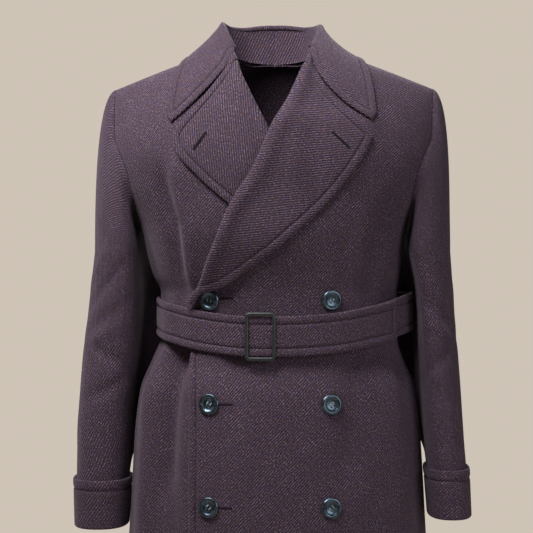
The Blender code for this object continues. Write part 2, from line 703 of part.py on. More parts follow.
def belt_part(name, start, end, raised, count):
    """Builds one length of the belt between two angles, raised where it lies on the other."""
    angle = np.radians(np.linspace(start, end, count))[:, None]
    across = np.linspace(0.5, -0.5, 4)[None, :] * BELT_WIDTH
    level = belt_middle(angle) + across
    even = BELT_SIDE_LEVEL + 0 * across
    base = torso(angle, even + 0 * angle)
    way = outward(angle, even + 0 * angle)
    way[..., 2] = 0.0
    way /= np.linalg.norm(way, axis=-1, keepdims=True)
    lift = belt_lift(angle) + raised(np.degrees(angle))
    inner = base + way * (lift + 0 * across)[..., None]
    outer = base + way * (lift + DOUBLE_CLOTH + 0 * across)[..., None]
    inner[..., 2] = level
    outer[..., 2] = level
    wall(name, outer, inner, wool())


def strap_raise(degrees):
    """The strap climbs over the centre bar of the buckle and on to the other length of the belt."""
    return (DOUBLE_CLOTH + LIE_GAP) * ease(degrees, -24, -12)


def belt():
    """Builds both lengths of the belt."""
    half_gap = math.degrees(SEAM_GAP / 2 / 0.12)
    belt_part("belt_strap", -180 + half_gap, STRAP_END_DEGREES, strap_raise, 46)
    belt_part("belt_base", -2.2, 180 - half_gap, lambda degrees: 0 * degrees, 36)


def rounded_frame(half_width, half_height, radius, steps=4):
    """Gives the outline of a rounded rectangle."""
    outline = []
    for corner in range(4):
        way_x = 1 if corner in (0, 3) else -1
        way_z = 1 if corner in (0, 1) else -1
        for step in range(steps + 1):
            turn = math.radians(90 * (corner + step / steps))
            outline.append((
                way_x * (half_width - radius) + radius * math.cos(turn),
                way_z * (half_height - radius) + radius * math.sin(turn),
            ))
    return outline


def buckle():
    """Builds the frame of the buckle with its centre bar behind the strap."""
    angle = float(angle_at(BUCKLE_X, BELT_SIDE_LEVEL))
    middle = torso(angle, BELT_SIDE_LEVEL)
    way = outward(angle, BELT_SIDE_LEVEL)
    way[2] = 0.0
    way /= np.linalg.norm(way)
    over = np.array([-way[1], way[0], 0.0])
    up = np.array([0.0, 0.0, 1.0])
    bar_lift = float(belt_lift(np.array(angle)))
    face_lift = bar_lift + 2 * DOUBLE_CLOTH + LIE_GAP - 0.0001
    middle[2] = float(belt_middle(np.array(angle)))

    def place(x, z, lift):
        return middle + over * x + up * z + way * lift

    outer = rounded_frame(BUCKLE_WIDTH / 2, BUCKLE_HEIGHT / 2, 0.007)
    inner = rounded_frame(BUCKLE_WIDTH / 2 - BUCKLE_BAR, BUCKLE_HEIGHT / 2 - BUCKLE_BAR + 0.0006, 0.0035)
    count = len(outer)
    points = []
    for outline, lift in ((outer, 0.0), (outer, BUCKLE_DEPTH), (inner, BUCKLE_DEPTH), (inner, 0.0)):
        points += [place(x, z, face_lift + lift) for x, z in outline]
    faces = []
    for band in range(4):
        after = (band + 1) % 4
        for step in range(count):
            beside = (step + 1) % count
            faces.append((
                band * count + step, band * count + beside, after * count + beside, after * count + step
            ))
    frame = make_object("buckle", points, faces, covered_metal(), smooth=False)

    half_bar = 0.0024
    reach = BUCKLE_HEIGHT / 2 - 0.0006
    leg = BUCKLE_HEIGHT / 2 - BUCKLE_BAR + 0.0012
    back = bar_lift + 0.0004
    front = bar_lift + DOUBLE_CLOTH - 0.0006
    profile = (
        (-reach, back), (reach, back), (reach, face_lift + 0.0012), (leg, face_lift + 0.0012),
        (leg, front), (-leg, front), (-leg, face_lift + 0.0012), (-reach, face_lift + 0.0012),
    )
    points = [place(x, z, lift) for x in (-half_bar, half_bar) for z, lift in profile]
    size = len(profile)
    faces = [tuple(range(size)), tuple(range(2 * size - 1, size - 1, -1))]
    for step in range(size):
        beside = (step + 1) % size
        faces.append((step, size + step, size + beside, beside))
    bar = make_object("buckle_bar_tool", points, faces, covered_metal(), smooth=False)
    bar.hide_render = True
    bar.display_type = "WIRE"
    join = frame.modifiers.new("centre_bar", "BOOLEAN")
    join.operation = "UNION"
    join.solver = "EXACT"
    join.object = bar


def button(name, across, height, segments=16):
    """Builds one button standing on the over front."""
    girth = float(girth_at(np.array(across), np.array(height)))
    angle = float(angle_at(np.array(across), np.array(girth)))
    lift = float(overlap_lift(np.array(across), np.array(height)))
    way = Vector(outward(angle, girth))
    seat = Vector(lifted(angle, girth, lift + BUTTON_SEAT))
    over = Vector((0.0, 0.0, 1.0)).cross(way).normalized()
    up = way.cross(over)
    points = []
    for turning in BUTTON_PROFILE:
        for step in range(segments):
            turn = 2 * math.pi * step / segments
            spoke = over * math.cos(turn) + up * math.sin(turn)
            points.append(seat + spoke * (BUTTON_RADIUS * turning.radius) + way * turning.height)
    faces = [tuple(range(segments))]
    for ring in range(len(BUTTON_PROFILE) - 1):
        for step in range(segments):
            beside = (step + 1) % segments
            faces.append((
                ring * segments + step, ring * segments + beside,
                (ring + 1) * segments + beside, (ring + 1) * segments + step,
            ))
    first = (len(BUTTON_PROFILE) - 1) * segments
    faces.append(tuple(range(first, first + segments)))
    make_object(name, points, faces, horn())


def build():
    """Builds the whole coat."""
    for old in list(bpy.data.objects):
        bpy.data.objects.remove(old, do_unlink=True)
    back_panel("back_left", 1)
    back_panel("back_right", -1)
    front_panel("front_left", 1)
    front_panel("front_right", -1)
    lapel("lapel_left", TOP_LAPEL, 1)
    lapel("lapel_right", LOWER_LAPEL, -1, rows=11)
    collar_fall("collar_fall")
    collar_stand("collar_stand")
    sleeve("sleeve_left", LEFT_SLEEVE, 1)
    sleeve("sleeve_right", RIGHT_SLEEVE, -1)
    belt()
    buckle()
    for row, height in enumerate(BUTTON_LEVELS, start=1):
        button("button_left_%d" % row, BUTTON_COLUMN, height)
        button("button_right_%d" % row, -BUTTON_COLUMN, height)


build()
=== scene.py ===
"""Looks of the belted double-breasted overcoat: cloth, sewing, buttons, buckle, light and camera."""
import logging
import math
from dataclasses import dataclass
from enum import Enum
from typing import NamedTuple, Optional, Sequence

import bpy
import numpy as np
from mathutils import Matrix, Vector


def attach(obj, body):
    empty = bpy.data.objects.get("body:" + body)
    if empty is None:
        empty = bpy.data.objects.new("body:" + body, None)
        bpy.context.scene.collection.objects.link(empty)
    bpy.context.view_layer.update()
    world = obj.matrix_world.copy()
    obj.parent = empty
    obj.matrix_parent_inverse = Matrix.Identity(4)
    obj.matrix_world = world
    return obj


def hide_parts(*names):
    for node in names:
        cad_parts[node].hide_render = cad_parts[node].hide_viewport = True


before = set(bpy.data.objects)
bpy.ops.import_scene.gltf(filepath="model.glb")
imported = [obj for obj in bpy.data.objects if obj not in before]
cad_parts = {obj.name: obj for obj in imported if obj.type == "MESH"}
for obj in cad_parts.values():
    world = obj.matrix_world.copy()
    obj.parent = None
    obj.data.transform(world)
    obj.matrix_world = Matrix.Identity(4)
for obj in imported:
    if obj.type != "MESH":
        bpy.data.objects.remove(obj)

LOG = logging.getLogger("overcoat")
ROOT = "root"
ROW_CROWDING = 1.25
COLUMN_CROWDING = 1.5
CLOTH_SHARP = 62.0
HARD_SHARP = 50.0
SECTION_SIDES = 16
SECTION_POWER = 0.72
Colour = tuple[float, float, float, float]
Place = tuple[float, float, float]


class Side(Enum):
    """The wearer's two sides, by the sign of X."""

    LEFT = 1
    RIGHT = -1

    @property
    def word(self) -> str:
        """The side as the names of pieces say it.

        Returns:
            The word left or right.
        """
        return self.name.lower()


class Girth(NamedTuple):
    """One ring of the coat: height, half width, reach to front and back, squareness, more on the left."""

    level: float
    half_width: float
    front: float
    back: float
    squareness: float
    left_more: float


class Fold(NamedTuple):
    """One fold: where it stands round the coat at top and foot, its span, breadth and height."""

    top_degrees: float
    foot_degrees: float
    top: float
    foot: float
    breadth: float
    height: float


class Roll(NamedTuple):
    """One point of the roll line: height and distance over from the centre."""

    height: float
    across: float


class Armhole(NamedTuple):
    """One point of the armhole: height up the cloth, angle of its front and back edge."""

    girth: float
    front: float
    back: float


class LapelRow(NamedTuple):
    """One row of a lapel seen from the front: roll line, bend and outer edge."""

    station: float
    fold_x: float
    fold_z: float
    bend_x: float
    bend_z: float
    edge_x: float
    edge_z: float


class CollarRow(NamedTuple):
    """One row of the collar: fold, bend and edge, as distance over, degrees over the shoulder and lift."""

    station: float
    fold_x: float
    fold_turn: float
    fold_lift: float
    bend_x: float
    bend_turn: float
    bend_lift: float
    edge_x: float
    edge_turn: float


class NeckRow(NamedTuple):
    """One point of the neck seam from centre back to the front."""

    station: float
    across: float
    turn: float


class SleeveRow(NamedTuple):
    """One ring of a sleeve: height, inner and outer side, middle, half depth, curl and hind fullness."""

    level: float
    inner: float
    outer: float
    middle: float
    half_depth: float
    curl: float
    hind: float


class SleeveCrease(NamedTuple):
    """One soft crease of a sleeve: middle angle, level, rise over its length, length, breadth, height."""

    angle: float
    level: float
    rise: float
    length: float
    breadth: float
    height: float


class Turning(NamedTuple):
    """One point of a turned profile: radius and height."""

    radius: float
    height: float


def along(rows: Sequence[NamedTuple], key: str, at: np.ndarray, column: str) -> np.ndarray:
    """Reads one column of a table between its rows as a smooth curve that does not overshoot.

    Args:
        rows: the table, in rising order of its key column.
        key: name of the key column.
        at: places along the key.
        column: name of the column to read.

    Returns:
        The values at those places.
    """
    place = np.array([getattr(row, key) for row in rows], dtype=float)
    value = np.array([getattr(row, column) for row in rows], dtype=float)
    step = np.diff(place)
    slope = np.diff(value) / step
    product = slope[:-1] * slope[1:]
    total = slope[:-1] + slope[1:]
    inner = np.where(product > 0, 2 * product / np.where(total == 0, 1, total), 0)
    tangent = np.concatenate([slope[:1], inner, slope[-1:]])
    at = np.clip(at, place[0], place[-1])
    row = np.clip(np.searchsorted(place, at, side="right") - 1, 0, len(step) - 1)
    share = (at - place[row]) / step[row]
    rest = 1 - share
    return (
        value[row] * (1 + 2 * share) * rest**2
        + value[row + 1] * share**2 * (3 - 2 * share)
        + step[row] * (tangent[row] * share * rest**2 - tangent[row + 1] * share**2 * rest)
    )


def ease(value: np.ndarray, start: float, end: float) -> np.ndarray:
    """Rises softly from 0 at start to 1 at end.

    Args:
        value: where to read the rise.
        start: place of 0.
        end: place of 1.

    Returns:
        The share risen.
    """
    share = np.clip((value - start) / (end - start), 0, 1)
    return share * share * (3 - 2 * share)


def unit(ways: np.ndarray) -> np.ndarray:
    """Scales directions to length 1.

    Args:
        ways: directions in the last axis.

    Returns:
        The same directions, each of length 1.
    """
    return ways / np.maximum(np.linalg.norm(ways, axis=-1, keepdims=True), 1e-12)


def normals(grid: np.ndarray, ring: bool = False) -> np.ndarray:
    """Gives the direction square to a grid of points.

    Args:
        grid: rows by columns of points.
        ring: whether the last column is followed by the first.

    Returns:
        A direction for each point.
    """
    up = np.gradient(grid, axis=0)
    over = (np.roll(grid, -1, axis=1) - np.roll(grid, 1, axis=1)) if ring else np.gradient(grid, axis=1)
    return unit(np.cross(over, up))


def ring_normals(rings: np.ndarray) -> np.ndarray:
    """Gives the outward directions of a tube.

    Args:
        rings: rings of points, from the top down.

    Returns:
        A direction for each point.
    """
    square = normals(rings[::-1], ring=True)[::-1]
    if ((rings - rings.mean(axis=1, keepdims=True)) * square).sum() < 0:
        square = -square
    return square


def bent(start: np.ndarray, middle: np.ndarray, end: np.ndarray, share: np.ndarray) -> np.ndarray:
    """Runs smoothly from start to end by way of a middle point.

    Args:
        start: value at share 0.
        middle: value at share one half.
        end: value at share 1.
        share: how far along.

    Returns:
        The values in between.
    """
    bow = middle - (start + end) / 2
    return start + (end - start) * share + 4 * bow * share * (1 - share)


def ripple(across: np.ndarray, height: np.ndarray, seed: float) -> np.ndarray:
    """Gives a soft uneven swell, the small give of thick cloth, between about -1 and 1.

    Args:
        across: distance along the cloth, in metres.
        height: distance up the cloth, in metres.
        seed: moves the pattern so that pieces differ.

    Returns:
        The swell at each place.
    """
    first = np.sin(31.0 * across + 11.0 * height + 2.1 * seed)
    second = np.sin(17.0 * across - 23.0 * height + 4.7 * seed + 1.3 * first)
    third = np.sin(47.0 * across + 5.0 * height - 3.3 * seed + 1.1 * second)
    return 0.45 * first + 0.35 * second + 0.2 * third


@dataclass(frozen=True)
class CoatForm:
    """The coat's base form: its girth at each height, its shoulders, roll line, armhole and folds."""

    chest: float = -0.200
    shoulder: float = 0.0153
    slope: float = 0.42
    slope_ease: float = 0.07
    slope_start: float = -0.25
    hem: float = -1.10
    neck_half_width: float = 0.072
    back_neck_degrees: float = 61.0
    side_seam: float = 95.0
    armhole_foot: float = -0.262
    fore_seam: float = -0.248
    armhole_bend: float = -0.215
    hind_turn: float = 8.0
    cloth: float = 0.0025
    double_cloth: float = 0.0042
    seam_gap: float = 0.0003
    lie_gap: float = 0.0009
    overlap_rise: float = 0.0039
    lapel_rise: float = 0.0056
    girths: tuple[Girth, ...] = (
        Girth(-1.10, 0.248, 0.190, 0.198, 2.10, 0.0060),
        Girth(-0.90, 0.228, 0.176, 0.182, 2.10, 0.0090),
        Girth(-0.715, 0.213, 0.165, 0.166, 2.15, 0.0115),
        Girth(-0.63, 0.208, 0.161, 0.158, 2.20, 0.0120),
        Girth(-0.56, 0.204, 0.156, 0.150, 2.20, 0.0115),
        Girth(-0.50, 0.196, 0.150, 0.141, 2.20, 0.0120),
        Girth(-0.455, 0.1775, 0.1390, 0.1255, 2.20, 0.0125),
        Girth(-0.425, 0.1662, 0.1381, 0.1245, 2.20, 0.0166),
        Girth(-0.40, 0.1655, 0.138, 0.124, 2.20, 0.0170),
        Girth(-0.36, 0.1662, 0.1395, 0.1255, 2.20, 0.0160),
        Girth(-0.337, 0.1765, 0.1434, 0.1303, 2.20, 0.0100),
        Girth(-0.31, 0.1845, 0.1480, 0.1360, 2.20, 0.0055),
        Girth(-0.27, 0.193, 0.153, 0.142, 2.25, 0.0020),
        Girth(-0.20, 0.222, 0.150, 0.145, 2.30, 0.0000),
        Girth(-0.12, 0.238, 0.150, 0.145, 2.30, 0.0000),
        Girth(0.0153, 0.245, 0.150, 0.145, 2.30, 0.0000),
    )
    roll_line: tuple[Roll, ...] = (
        Roll(-0.383, -0.112),
        Roll(-0.368, -0.109),
        Roll(-0.352, -0.100),
        Roll(-0.300, -0.079),
        Roll(-0.234, -0.050),
        Roll(-0.190, -0.024),
        Roll(-0.160, -0.012),
        Roll(-0.136, 0.000),
        Roll(-0.105, 0.0168),
        Roll(-0.087, 0.0262),
        Roll(-0.073, 0.0325),
        Roll(-0.050, 0.0415),
        Roll(-0.029, 0.0510),
        Roll(0.000, 0.072),
    )
    folds: tuple[Fold, ...] = (
        Fold(-31.0, -37.5, -0.15, -0.365, 5.2, 0.0050),
        Fold(-40.0, -46.5, -0.18, -0.375, 5.0, -0.0065),
        Fold(50.0, 44.0, -0.22, -0.375, 7.0, -0.0040),
        Fold(118.0, 122.0, -0.22, -0.360, 8.0, 0.0050),
        Fold(-120.0, -124.0, -0.22, -0.360, 8.0, 0.0050),
        Fold(-46.0, -45.5, -0.41, -0.660, 5.0, -0.0100),
        Fold(-58.0, -60.0, -0.46, -1.100, 9.0, 0.0060),
        Fold(41.0, 30.0, -0.42, -0.625, 9.0, -0.0055),
        Fold(52.0, 55.0, -0.46, -1.100, 9.0, 0.0050),
        Fold(70.0, 74.0, -0.45, -0.900, 7.0, -0.0050),
        Fold(142.0, 146.0, -0.47, -1.100, 9.0, 0.0070),
        Fold(-140.0, -146.0, -0.47, -1.100, 9.0, 0.0070),
    )
    creases: tuple[Fold, ...] = (
        Fold(-31.5, -37.5, -0.15, -0.370, 4.0, 0.0024),
        Fold(-41.0, -46.5, -0.17, -0.380, 4.2, -0.0030),
        Fold(-51.5, -48.5, -0.41, -1.100, 6.0, -0.0080),
        Fold(-41.5, -40.5, -0.42, -1.100, 6.5, -0.0075),
        Fold(-60.0, -63.0, -0.40, -0.560, 6.0, 0.0040),
        Fold(36.0, 24.0, -0.40, -0.660, 6.0, -0.0035),
        Fold(-15.0, -12.0, -0.44, -0.580, 4.5, -0.0020),
        Fold(6.0, 2.0, -0.44, -0.560, 5.5, 0.0016),
        Fold(33.0, 30.0, -0.19, -0.365, 6.0, -0.0030),
        Fold(60.0, 52.0, -0.30, -0.385, 5.0, 0.0026),
        Fold(47.0, 42.0, -0.31, -0.385, 4.0, -0.0026),
        Fold(-70.0, -66.0, -0.28, -0.380, 5.0, -0.0026),
        Fold(66.0, 62.0, -0.41, -0.560, 5.0, -0.0040),
        Fold(100.0, 104.0, -0.28, -0.375, 6.0, -0.0024),
        Fold(160.0, 164.0, -0.25, -0.372, 7.0, -0.0026),
        Fold(-162.0, -158.0, -0.25, -0.372, 7.0, -0.0030),
        Fold(170.0, 172.0, -0.41, -0.800, 6.0, -0.0046),
        Fold(-118.0, -122.0, -0.41, -0.760, 6.0, -0.0042),
        Fold(-166.0, -160.0, -0.41, -0.640, 5.0, -0.0034),
        Fold(112.0, 116.0, -0.41, -0.700, 6.0, -0.0040),
        Fold(138.0, 132.0, -0.41, -0.600, 5.0, -0.0030),
    )

    @property
    def span(self) -> float:
        """Height from the chest to the shoulder.

        Returns:
            The height in metres.
        """
        return self.shoulder - self.chest

    @property
    def top(self) -> float:
        """Height up the cloth of the shoulder seam.

        Returns:
            The height in metres.
        """
        return self.chest + self.span * math.pi / 2

    @property
    def armhole(self) -> tuple[Armhole, ...]:
        """The armhole's edge from its foot to the shoulder.

        Returns:
            The table of the armhole.
        """
        return (
            Armhole(self.armhole_foot, self.side_seam, self.side_seam),
            Armhole(self.fore_seam, 79.0, 110.0),
            Armhole(self.armhole_bend, 66.0, 117.0),
            Armhole(-0.170, 63.5, 117.0),
            Armhole(-0.125, 66.0, 114.0),
            Armhole(-0.080, 71.0, 109.0),
            Armhole(self.top, 71.0, 109.0),
        )

    @property
    def hind_seam(self) -> float:
        """Height up the cloth at which the sleeve's hind seam meets the armhole.

        Returns:
            The height in metres.
        """
        return float(self.over(np.array(self.hind_turn)))

    def over(self, degrees: np.ndarray) -> np.ndarray:
        """Gives the height up the cloth so many degrees over the shoulder from the chest.

        Args:
            degrees: 0 at the chest, 90 at the shoulder seam.

        Returns:
            Heights up the cloth.
        """
        return self.chest + self.span * np.radians(degrees)

    def level(self, girth: np.ndarray) -> np.ndarray:
        """Gives the height of a ring before its sideways drop.

        Args:
            girth: heights up the cloth.

        Returns:
            Ring heights.
        """
        turn = np.clip((girth - self.chest) / self.span, 0, math.pi)
        return np.where(girth > self.chest, self.chest + self.span * np.sin(turn), girth)

    def drop(self, level: np.ndarray, across: np.ndarray) -> np.ndarray:
        """Gives how far a ring falls away sideways along the slope of the shoulder.

        Args:
            level: ring heights.
            across: distances over from the centre.

        Returns:
            The drops.
        """
        slope = self.slope * ease(level, self.slope_start, self.shoulder)
        return slope * across**2 / (np.abs(across) + self.slope_ease)

    def fold_height(self, degrees: np.ndarray, level: np.ndarray) -> np.ndarray:
        """Gives the height of the folds and creases at a place round the coat.

        Args:
            degrees: angle round from centre front.
            level: ring height.

        Returns:
            Heights, negative in a trough.
        """
        height = np.zeros(np.broadcast(degrees, level).shape)
        for fold in self.folds + self.creases:
            share = np.clip((fold.top - level) / (fold.top - fold.foot), 0, 1)
            middle = fold.top_degrees + (fold.foot_degrees - fold.top_degrees) * share
            fade = ease(level, fold.top + 0.03, fold.top - 0.05)
            if fold.foot > self.hem:
                fade = fade * ease(level, fold.foot - 0.02, fold.foot + 0.06)
            apart = (degrees - middle + 180) % 360 - 180
            height = height + fold.height * fade * np.exp(-((apart / fold.breadth) ** 2))
        return height

    def half_girth(self, level: np.ndarray, way: np.ndarray) -> np.ndarray:
        """Gives half of the coat's width on one side.

        Args:
            level: ring heights.
            way: its sign names the side, above 0 for the wearer's left.

        Returns:
            Half widths.
        """
        more = along(self.girths, "level", level, "left_more")
        return along(self.girths, "level", level, "half_width") + np.where(way > 0, more, 0.0)

    def torso(self, angle: np.ndarray, girth: np.ndarray) -> np.ndarray:
        """Gives points of the base form.

        Args:
            angle: radians round from centre front towards the wearer's left.
            girth: heights up the cloth, running over the shoulder for the largest.

        Returns:
            Points in metres.
        """
        angle, girth = np.broadcast_arrays(np.asarray(angle, float), np.asarray(girth, float))
        turn = np.clip((girth - self.chest) / self.span, 0, math.pi)
        level = self.level(girth)
        power = 2 / along(self.girths, "level", level, "squareness")
        forward = np.cos(angle) * np.cos(turn)
        front = along(self.girths, "level", level, "front")
        back = along(self.girths, "level", level, "back")
        half_width = self.half_girth(level, np.sin(angle))
        side = np.sign(np.sin(angle)) * np.abs(np.sin(angle)) ** power
        depth = np.sign(np.cos(angle)) * np.abs(np.cos(angle)) ** power
        fold = self.fold_height(np.degrees(angle), level)
        x = half_width * side + fold * np.sin(angle)
        y = -np.where(forward >= 0, front, back) * depth * np.cos(turn) - fold * np.cos(angle)
        return np.stack([x, y, level - self.drop(level, half_width * side)], axis=-1)

    def outward(self, angle: np.ndarray, girth: np.ndarray) -> np.ndarray:
        """Gives the outward direction of the base form.

        Args:
            angle: radians round from centre front.
            girth: heights up the cloth.

        Returns:
            Directions of length 1.
        """
        small = 0.0015
        round_it = self.torso(angle + small, girth) - self.torso(angle - small, girth)
        up_it = self.torso(angle, girth + small) - self.torso(angle, girth - small)
        return unit(np.cross(round_it, up_it))

    def lifted(self, angle: np.ndarray, girth: np.ndarray, lift: np.ndarray) -> np.ndarray:
        """Gives points of the base form moved out by a lift.

        Args:
            angle: radians round from centre front.
            girth: heights up the cloth.
            lift: how far out, in metres.

        Returns:
            Points in metres.
        """
        lift = np.broadcast_to(np.asarray(lift, float), np.broadcast(angle, girth).shape)
        return self.torso(angle, girth) + self.outward(angle, girth) * lift[..., None]

    def angle_at(self, across: np.ndarray, girth: np.ndarray) -> np.ndarray:
        """Gives the angle round the coat of a point so far over from the centre.

        Args:
            across: distances over from the centre.
            girth: heights up the cloth.

        Returns:
            Angles in radians.
        """
        level = self.level(girth)
        share = np.clip(np.abs(across) / self.half_girth(level, across), 0, 1)
        return np.sign(across) * np.arcsin(share ** (along(self.girths, "level", level, "squareness") / 2))

    def girth_at(self, across: np.ndarray, height: np.ndarray) -> np.ndarray:
        """Gives the height up the cloth of a point of the front seen from in front.

        Args:
            across: distances over from the centre.
            height: heights in the view.

        Returns:
            Heights up the cloth.
        """
        level = np.asarray(height, float)
        for _ in range(12):
            level = height + self.drop(level, across)
        share = np.clip((level - self.chest) / self.span, 0, 1)
        return np.where(level > self.chest, self.chest + self.span * np.arcsin(share), level)

    def overlap_lift(self, across: np.ndarray, height: np.ndarray) -> np.ndarray:
        """Gives how far the over front is lifted by what lies beneath it.

        Args:
            across: distances over from the centre.
            height: heights in the view.

        Returns:
            Lifts in metres.
        """
        below_cross = 1 - ease(height, -0.128, -0.090)
        on_front = 1 - ease(across, 0.120, 0.165)
        on_lapel = (1 - ease(across, 0.028, 0.065)) * ease(height, -0.345, -0.285)
        return below_cross * (self.overlap_rise * on_front + self.lapel_rise * on_lapel)

    def roll_angle(self, girth: np.ndarray) -> np.ndarray:
        """Gives the angle of the over front's inner edge: the roll line, then the straight edge.

        Args:
            girth: heights up the cloth.

        Returns:
            Angles in radians.
        """
        across = np.zeros(np.shape(girth))
        level = self.level(girth)
        for _ in range(24):
            height = level - self.drop(level, across)
            across = 0.5 * across + 0.5 * along(self.roll_line, "height", height, "across")
        return self.angle_at(across, girth)

    def seam_angle(self, girth: np.ndarray, column: str) -> np.ndarray:
        """Gives the angle of the armhole's edge, or of the side seam below it.

        Args:
            girth: heights up the cloth.
            column: front or back.

        Returns:
            Angles in radians.
        """
        return np.radians(along(self.armhole, "girth", girth, column))


FORM = CoatForm()


class Grain(Enum):
    """Slant of the twill's ridges on a piece, in degrees from across, seen with the piece in front."""

    BODY = 47.0
    TOP_LAPEL = 6.0
    LOWER_LAPEL = 96.0
    COLLAR = 66.0
    BELT = 48.0


class Cut(NamedTuple):
    """The flat cut of a piece: width, length and area, how it is held and what holds it."""

    width: float
    length: float
    area: float
    held: str
    rests_on: tuple[str, ...]


@dataclass
class Wall:
    """Two skins of points that make one wall of cloth, with what its weave and sewing need.

    Fields: outer and inner points, metres over and up the cloth, distance in from a sewn edge, and
    distance run along that edge.
    """

    outer: np.ndarray
    inner: np.ndarray
    over: np.ndarray
    up: np.ndarray
    edge: Optional[np.ndarray] = None
    run: Optional[np.ndarray] = None


def arc(grid: np.ndarray, axis: int) -> np.ndarray:
    """Gives the distance run along one axis of a grid of points.

    Args:
        grid: rows by columns of points.
        axis: 0 down the rows, 1 along the columns.

    Returns:
        The distance from the first row or column.
    """
    step = np.linalg.norm(np.diff(grid, axis=axis), axis=-1)
    start = np.zeros_like(np.take(step, [0], axis=axis))
    return np.cumsum(np.concatenate([start, step], axis=axis), axis=axis)


def sewn_edge(points: np.ndarray, line: np.ndarray) -> tuple[np.ndarray, np.ndarray]:
    """Gives the distance of points from an edge and how far along it each one lies.

    Args:
        points: rows by columns of points.
        line: the points of the edge in order.

    Returns:
        The distances from the edge, and the distances along it.
    """
    flat = points.reshape(-1, 3)
    best = np.full(len(flat), np.inf)
    run = np.zeros(len(flat))
    passed = 0.0
    for start, end in zip(line[:-1], line[1:]):
        way = end - start
        length = float(np.linalg.norm(way))
        share = np.clip((flat - start) @ way / max(length**2, 1e-12), 0, 1)
        apart = np.linalg.norm(flat - start - share[:, None] * way, axis=1)
        nearer = apart < best
        best = np.where(nearer, apart, best)
        run = np.where(nearer, passed + share * length, run)
        passed += length
    return best.reshape(points.shape[:-1]), run.reshape(points.shape[:-1])


def rounded_half(thickness: float, edge: np.ndarray, radius: float = 0.0026) -> np.ndarray:
    """Gives half of the thickness of a wall that rounds off towards its edge.

    Args:
        thickness: full thickness away from the edge.
        edge: distances in from the edge.
        radius: how far in the rounding reaches.

    Returns:
        Half thicknesses.
    """
    share = np.clip(edge / radius, 0, 1)
    return thickness / 2 * np.sqrt(np.clip(1 - (1 - share) ** 2, 0.04, 1))


def sewn_swell(edge: np.ndarray, stitch_in: float = 0.0115) -> np.ndarray:
    """Gives the puffed edge and the groove that a row of stitches makes in a wall's outer face.

    Args:
        edge: distances in from the edge.
        stitch_in: how far in the stitches run.

    Returns:
        Heights over the plain face, negative in the groove.
    """
    groove = np.exp(-(((edge - stitch_in) / 0.0019) ** 2))
    puff = np.exp(-(((edge - 0.5 * stitch_in) / 0.0042) ** 2))
    return 0.0004 * puff - 0.0013 * groove


def placed(name: str, mesh: bpy.types.Mesh, look: bpy.types.Material, sharp: float) -> bpy.types.Object:
    """Smooths a mesh, dresses it and puts it on the coat.

    Args:
        name: name of the object.
        mesh: its mesh.
        look: its material.
        sharp: angle in degrees from which an edge stays sharp.

    Returns:
        The made object.
    """
    mesh.polygons.foreach_set("use_smooth", np.ones(len(mesh.polygons), dtype=bool))
    mesh.set_sharp_from_angle(angle=math.radians(sharp))
    mesh.materials.append(look)
    made = bpy.data.objects.new(name, mesh)
    bpy.context.collection.objects.link(made)
    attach(made, ROOT)
    return made


class ClothPiece:
    """Base of every cloth piece: makes its mesh and gives it weave, finish and place."""

    def __init__(self, finish: "WoolTwill") -> None:
        """Keeps the finish that the piece is dressed with.

        Args:
            finish: the cloth.
        """
        self.finish = finish

    def sew(self, name: str, wall: Wall, grain: Grain, cut: Cut) -> None:
        """Makes the shown mesh of a wall in place of its solid.

        Args:
            name: name of the solid that it replaces.
            wall: its two skins.
            grain: slant of the twill.
            cut: flat cut of the piece; not used.
        """
        rows, columns = wall.outer.shape[:2]
        index = np.arange(rows * columns).reshape(rows, columns)
        half = rows * columns
        a, b, c, d = index[:-1, :-1], index[:-1, 1:], index[1:, 1:], index[1:, :-1]
        quads = [np.stack([a, b, c, d], -1).reshape(-1, 4), np.stack([d, c, b, a], -1).reshape(-1, 4) + half]
        rim = np.concatenate([index[0], index[1:, -1], index[-1, -2::-1], index[-2:0:-1, 0]])
        after = np.roll(rim, -1)
        quads.append(np.stack([rim, rim + half, after + half, after], -1))
        points = np.concatenate([wall.outer.reshape(-1, 3), wall.inner.reshape(-1, 3)])
        faces = np.concatenate(quads)
        middle = faces[: len(quads[0])]
        corner, beside, above = (points[middle[:, place]] for place in (0, 1, 3))
        facing = np.cross(beside - corner, above - corner)
        thick = corner - points[middle[:, 0] + half]
        if (facing * thick).sum() < 0:
            faces = faces[:, ::-1]
        mesh = bpy.data.meshes.new(name + "_cloth")
        mesh.from_pydata(points.tolist(), [], faces.tolist())
        self.weave(mesh, wall, grain)
        made = placed(name + "_cloth", mesh, self.finish.material(), CLOTH_SHARP)
        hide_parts(name)
        LOG.info("%s: %d by %d points a skin", name, rows, columns)

    @staticmethod
    def weave(mesh: bpy.types.Mesh, wall: Wall, grain: Grain) -> None:
        """Lays the weave and the sewing distances on a mesh.

        Args:
            mesh: the piece's mesh.
            wall: its two skins.
            grain: slant of the twill.
        """
        slant = math.radians(grain.value)
        over, up = np.broadcast_arrays(wall.over, wall.up)
        ridge_way = over * math.cos(slant) + up * math.sin(slant)
        ridge_side = -over * math.sin(slant) + up * math.cos(slant)
        flat = np.stack([ridge_way, ridge_side], -1).reshape(-1, 2)
        flat = np.concatenate([flat, flat])
        corner = np.empty(len(mesh.loops), dtype=np.int32)
        mesh.loops.foreach_get("vertex_index", corner)
        layer = mesh.uv_layers.new(name="weave")
        layer.data.foreach_set("uv", flat[corner].astype(np.float32).ravel())
        size = wall.outer.shape[:2]
        for name, values in (("edge", wall.edge), ("run", wall.run)):
            values = np.ones(size) if values is None else np.broadcast_to(values, size)
            store = mesh.attributes.new(name, "FLOAT", "POINT")
            store.data.foreach_set("value", np.concatenate([values.ravel()] * 2).astype(np.float32))


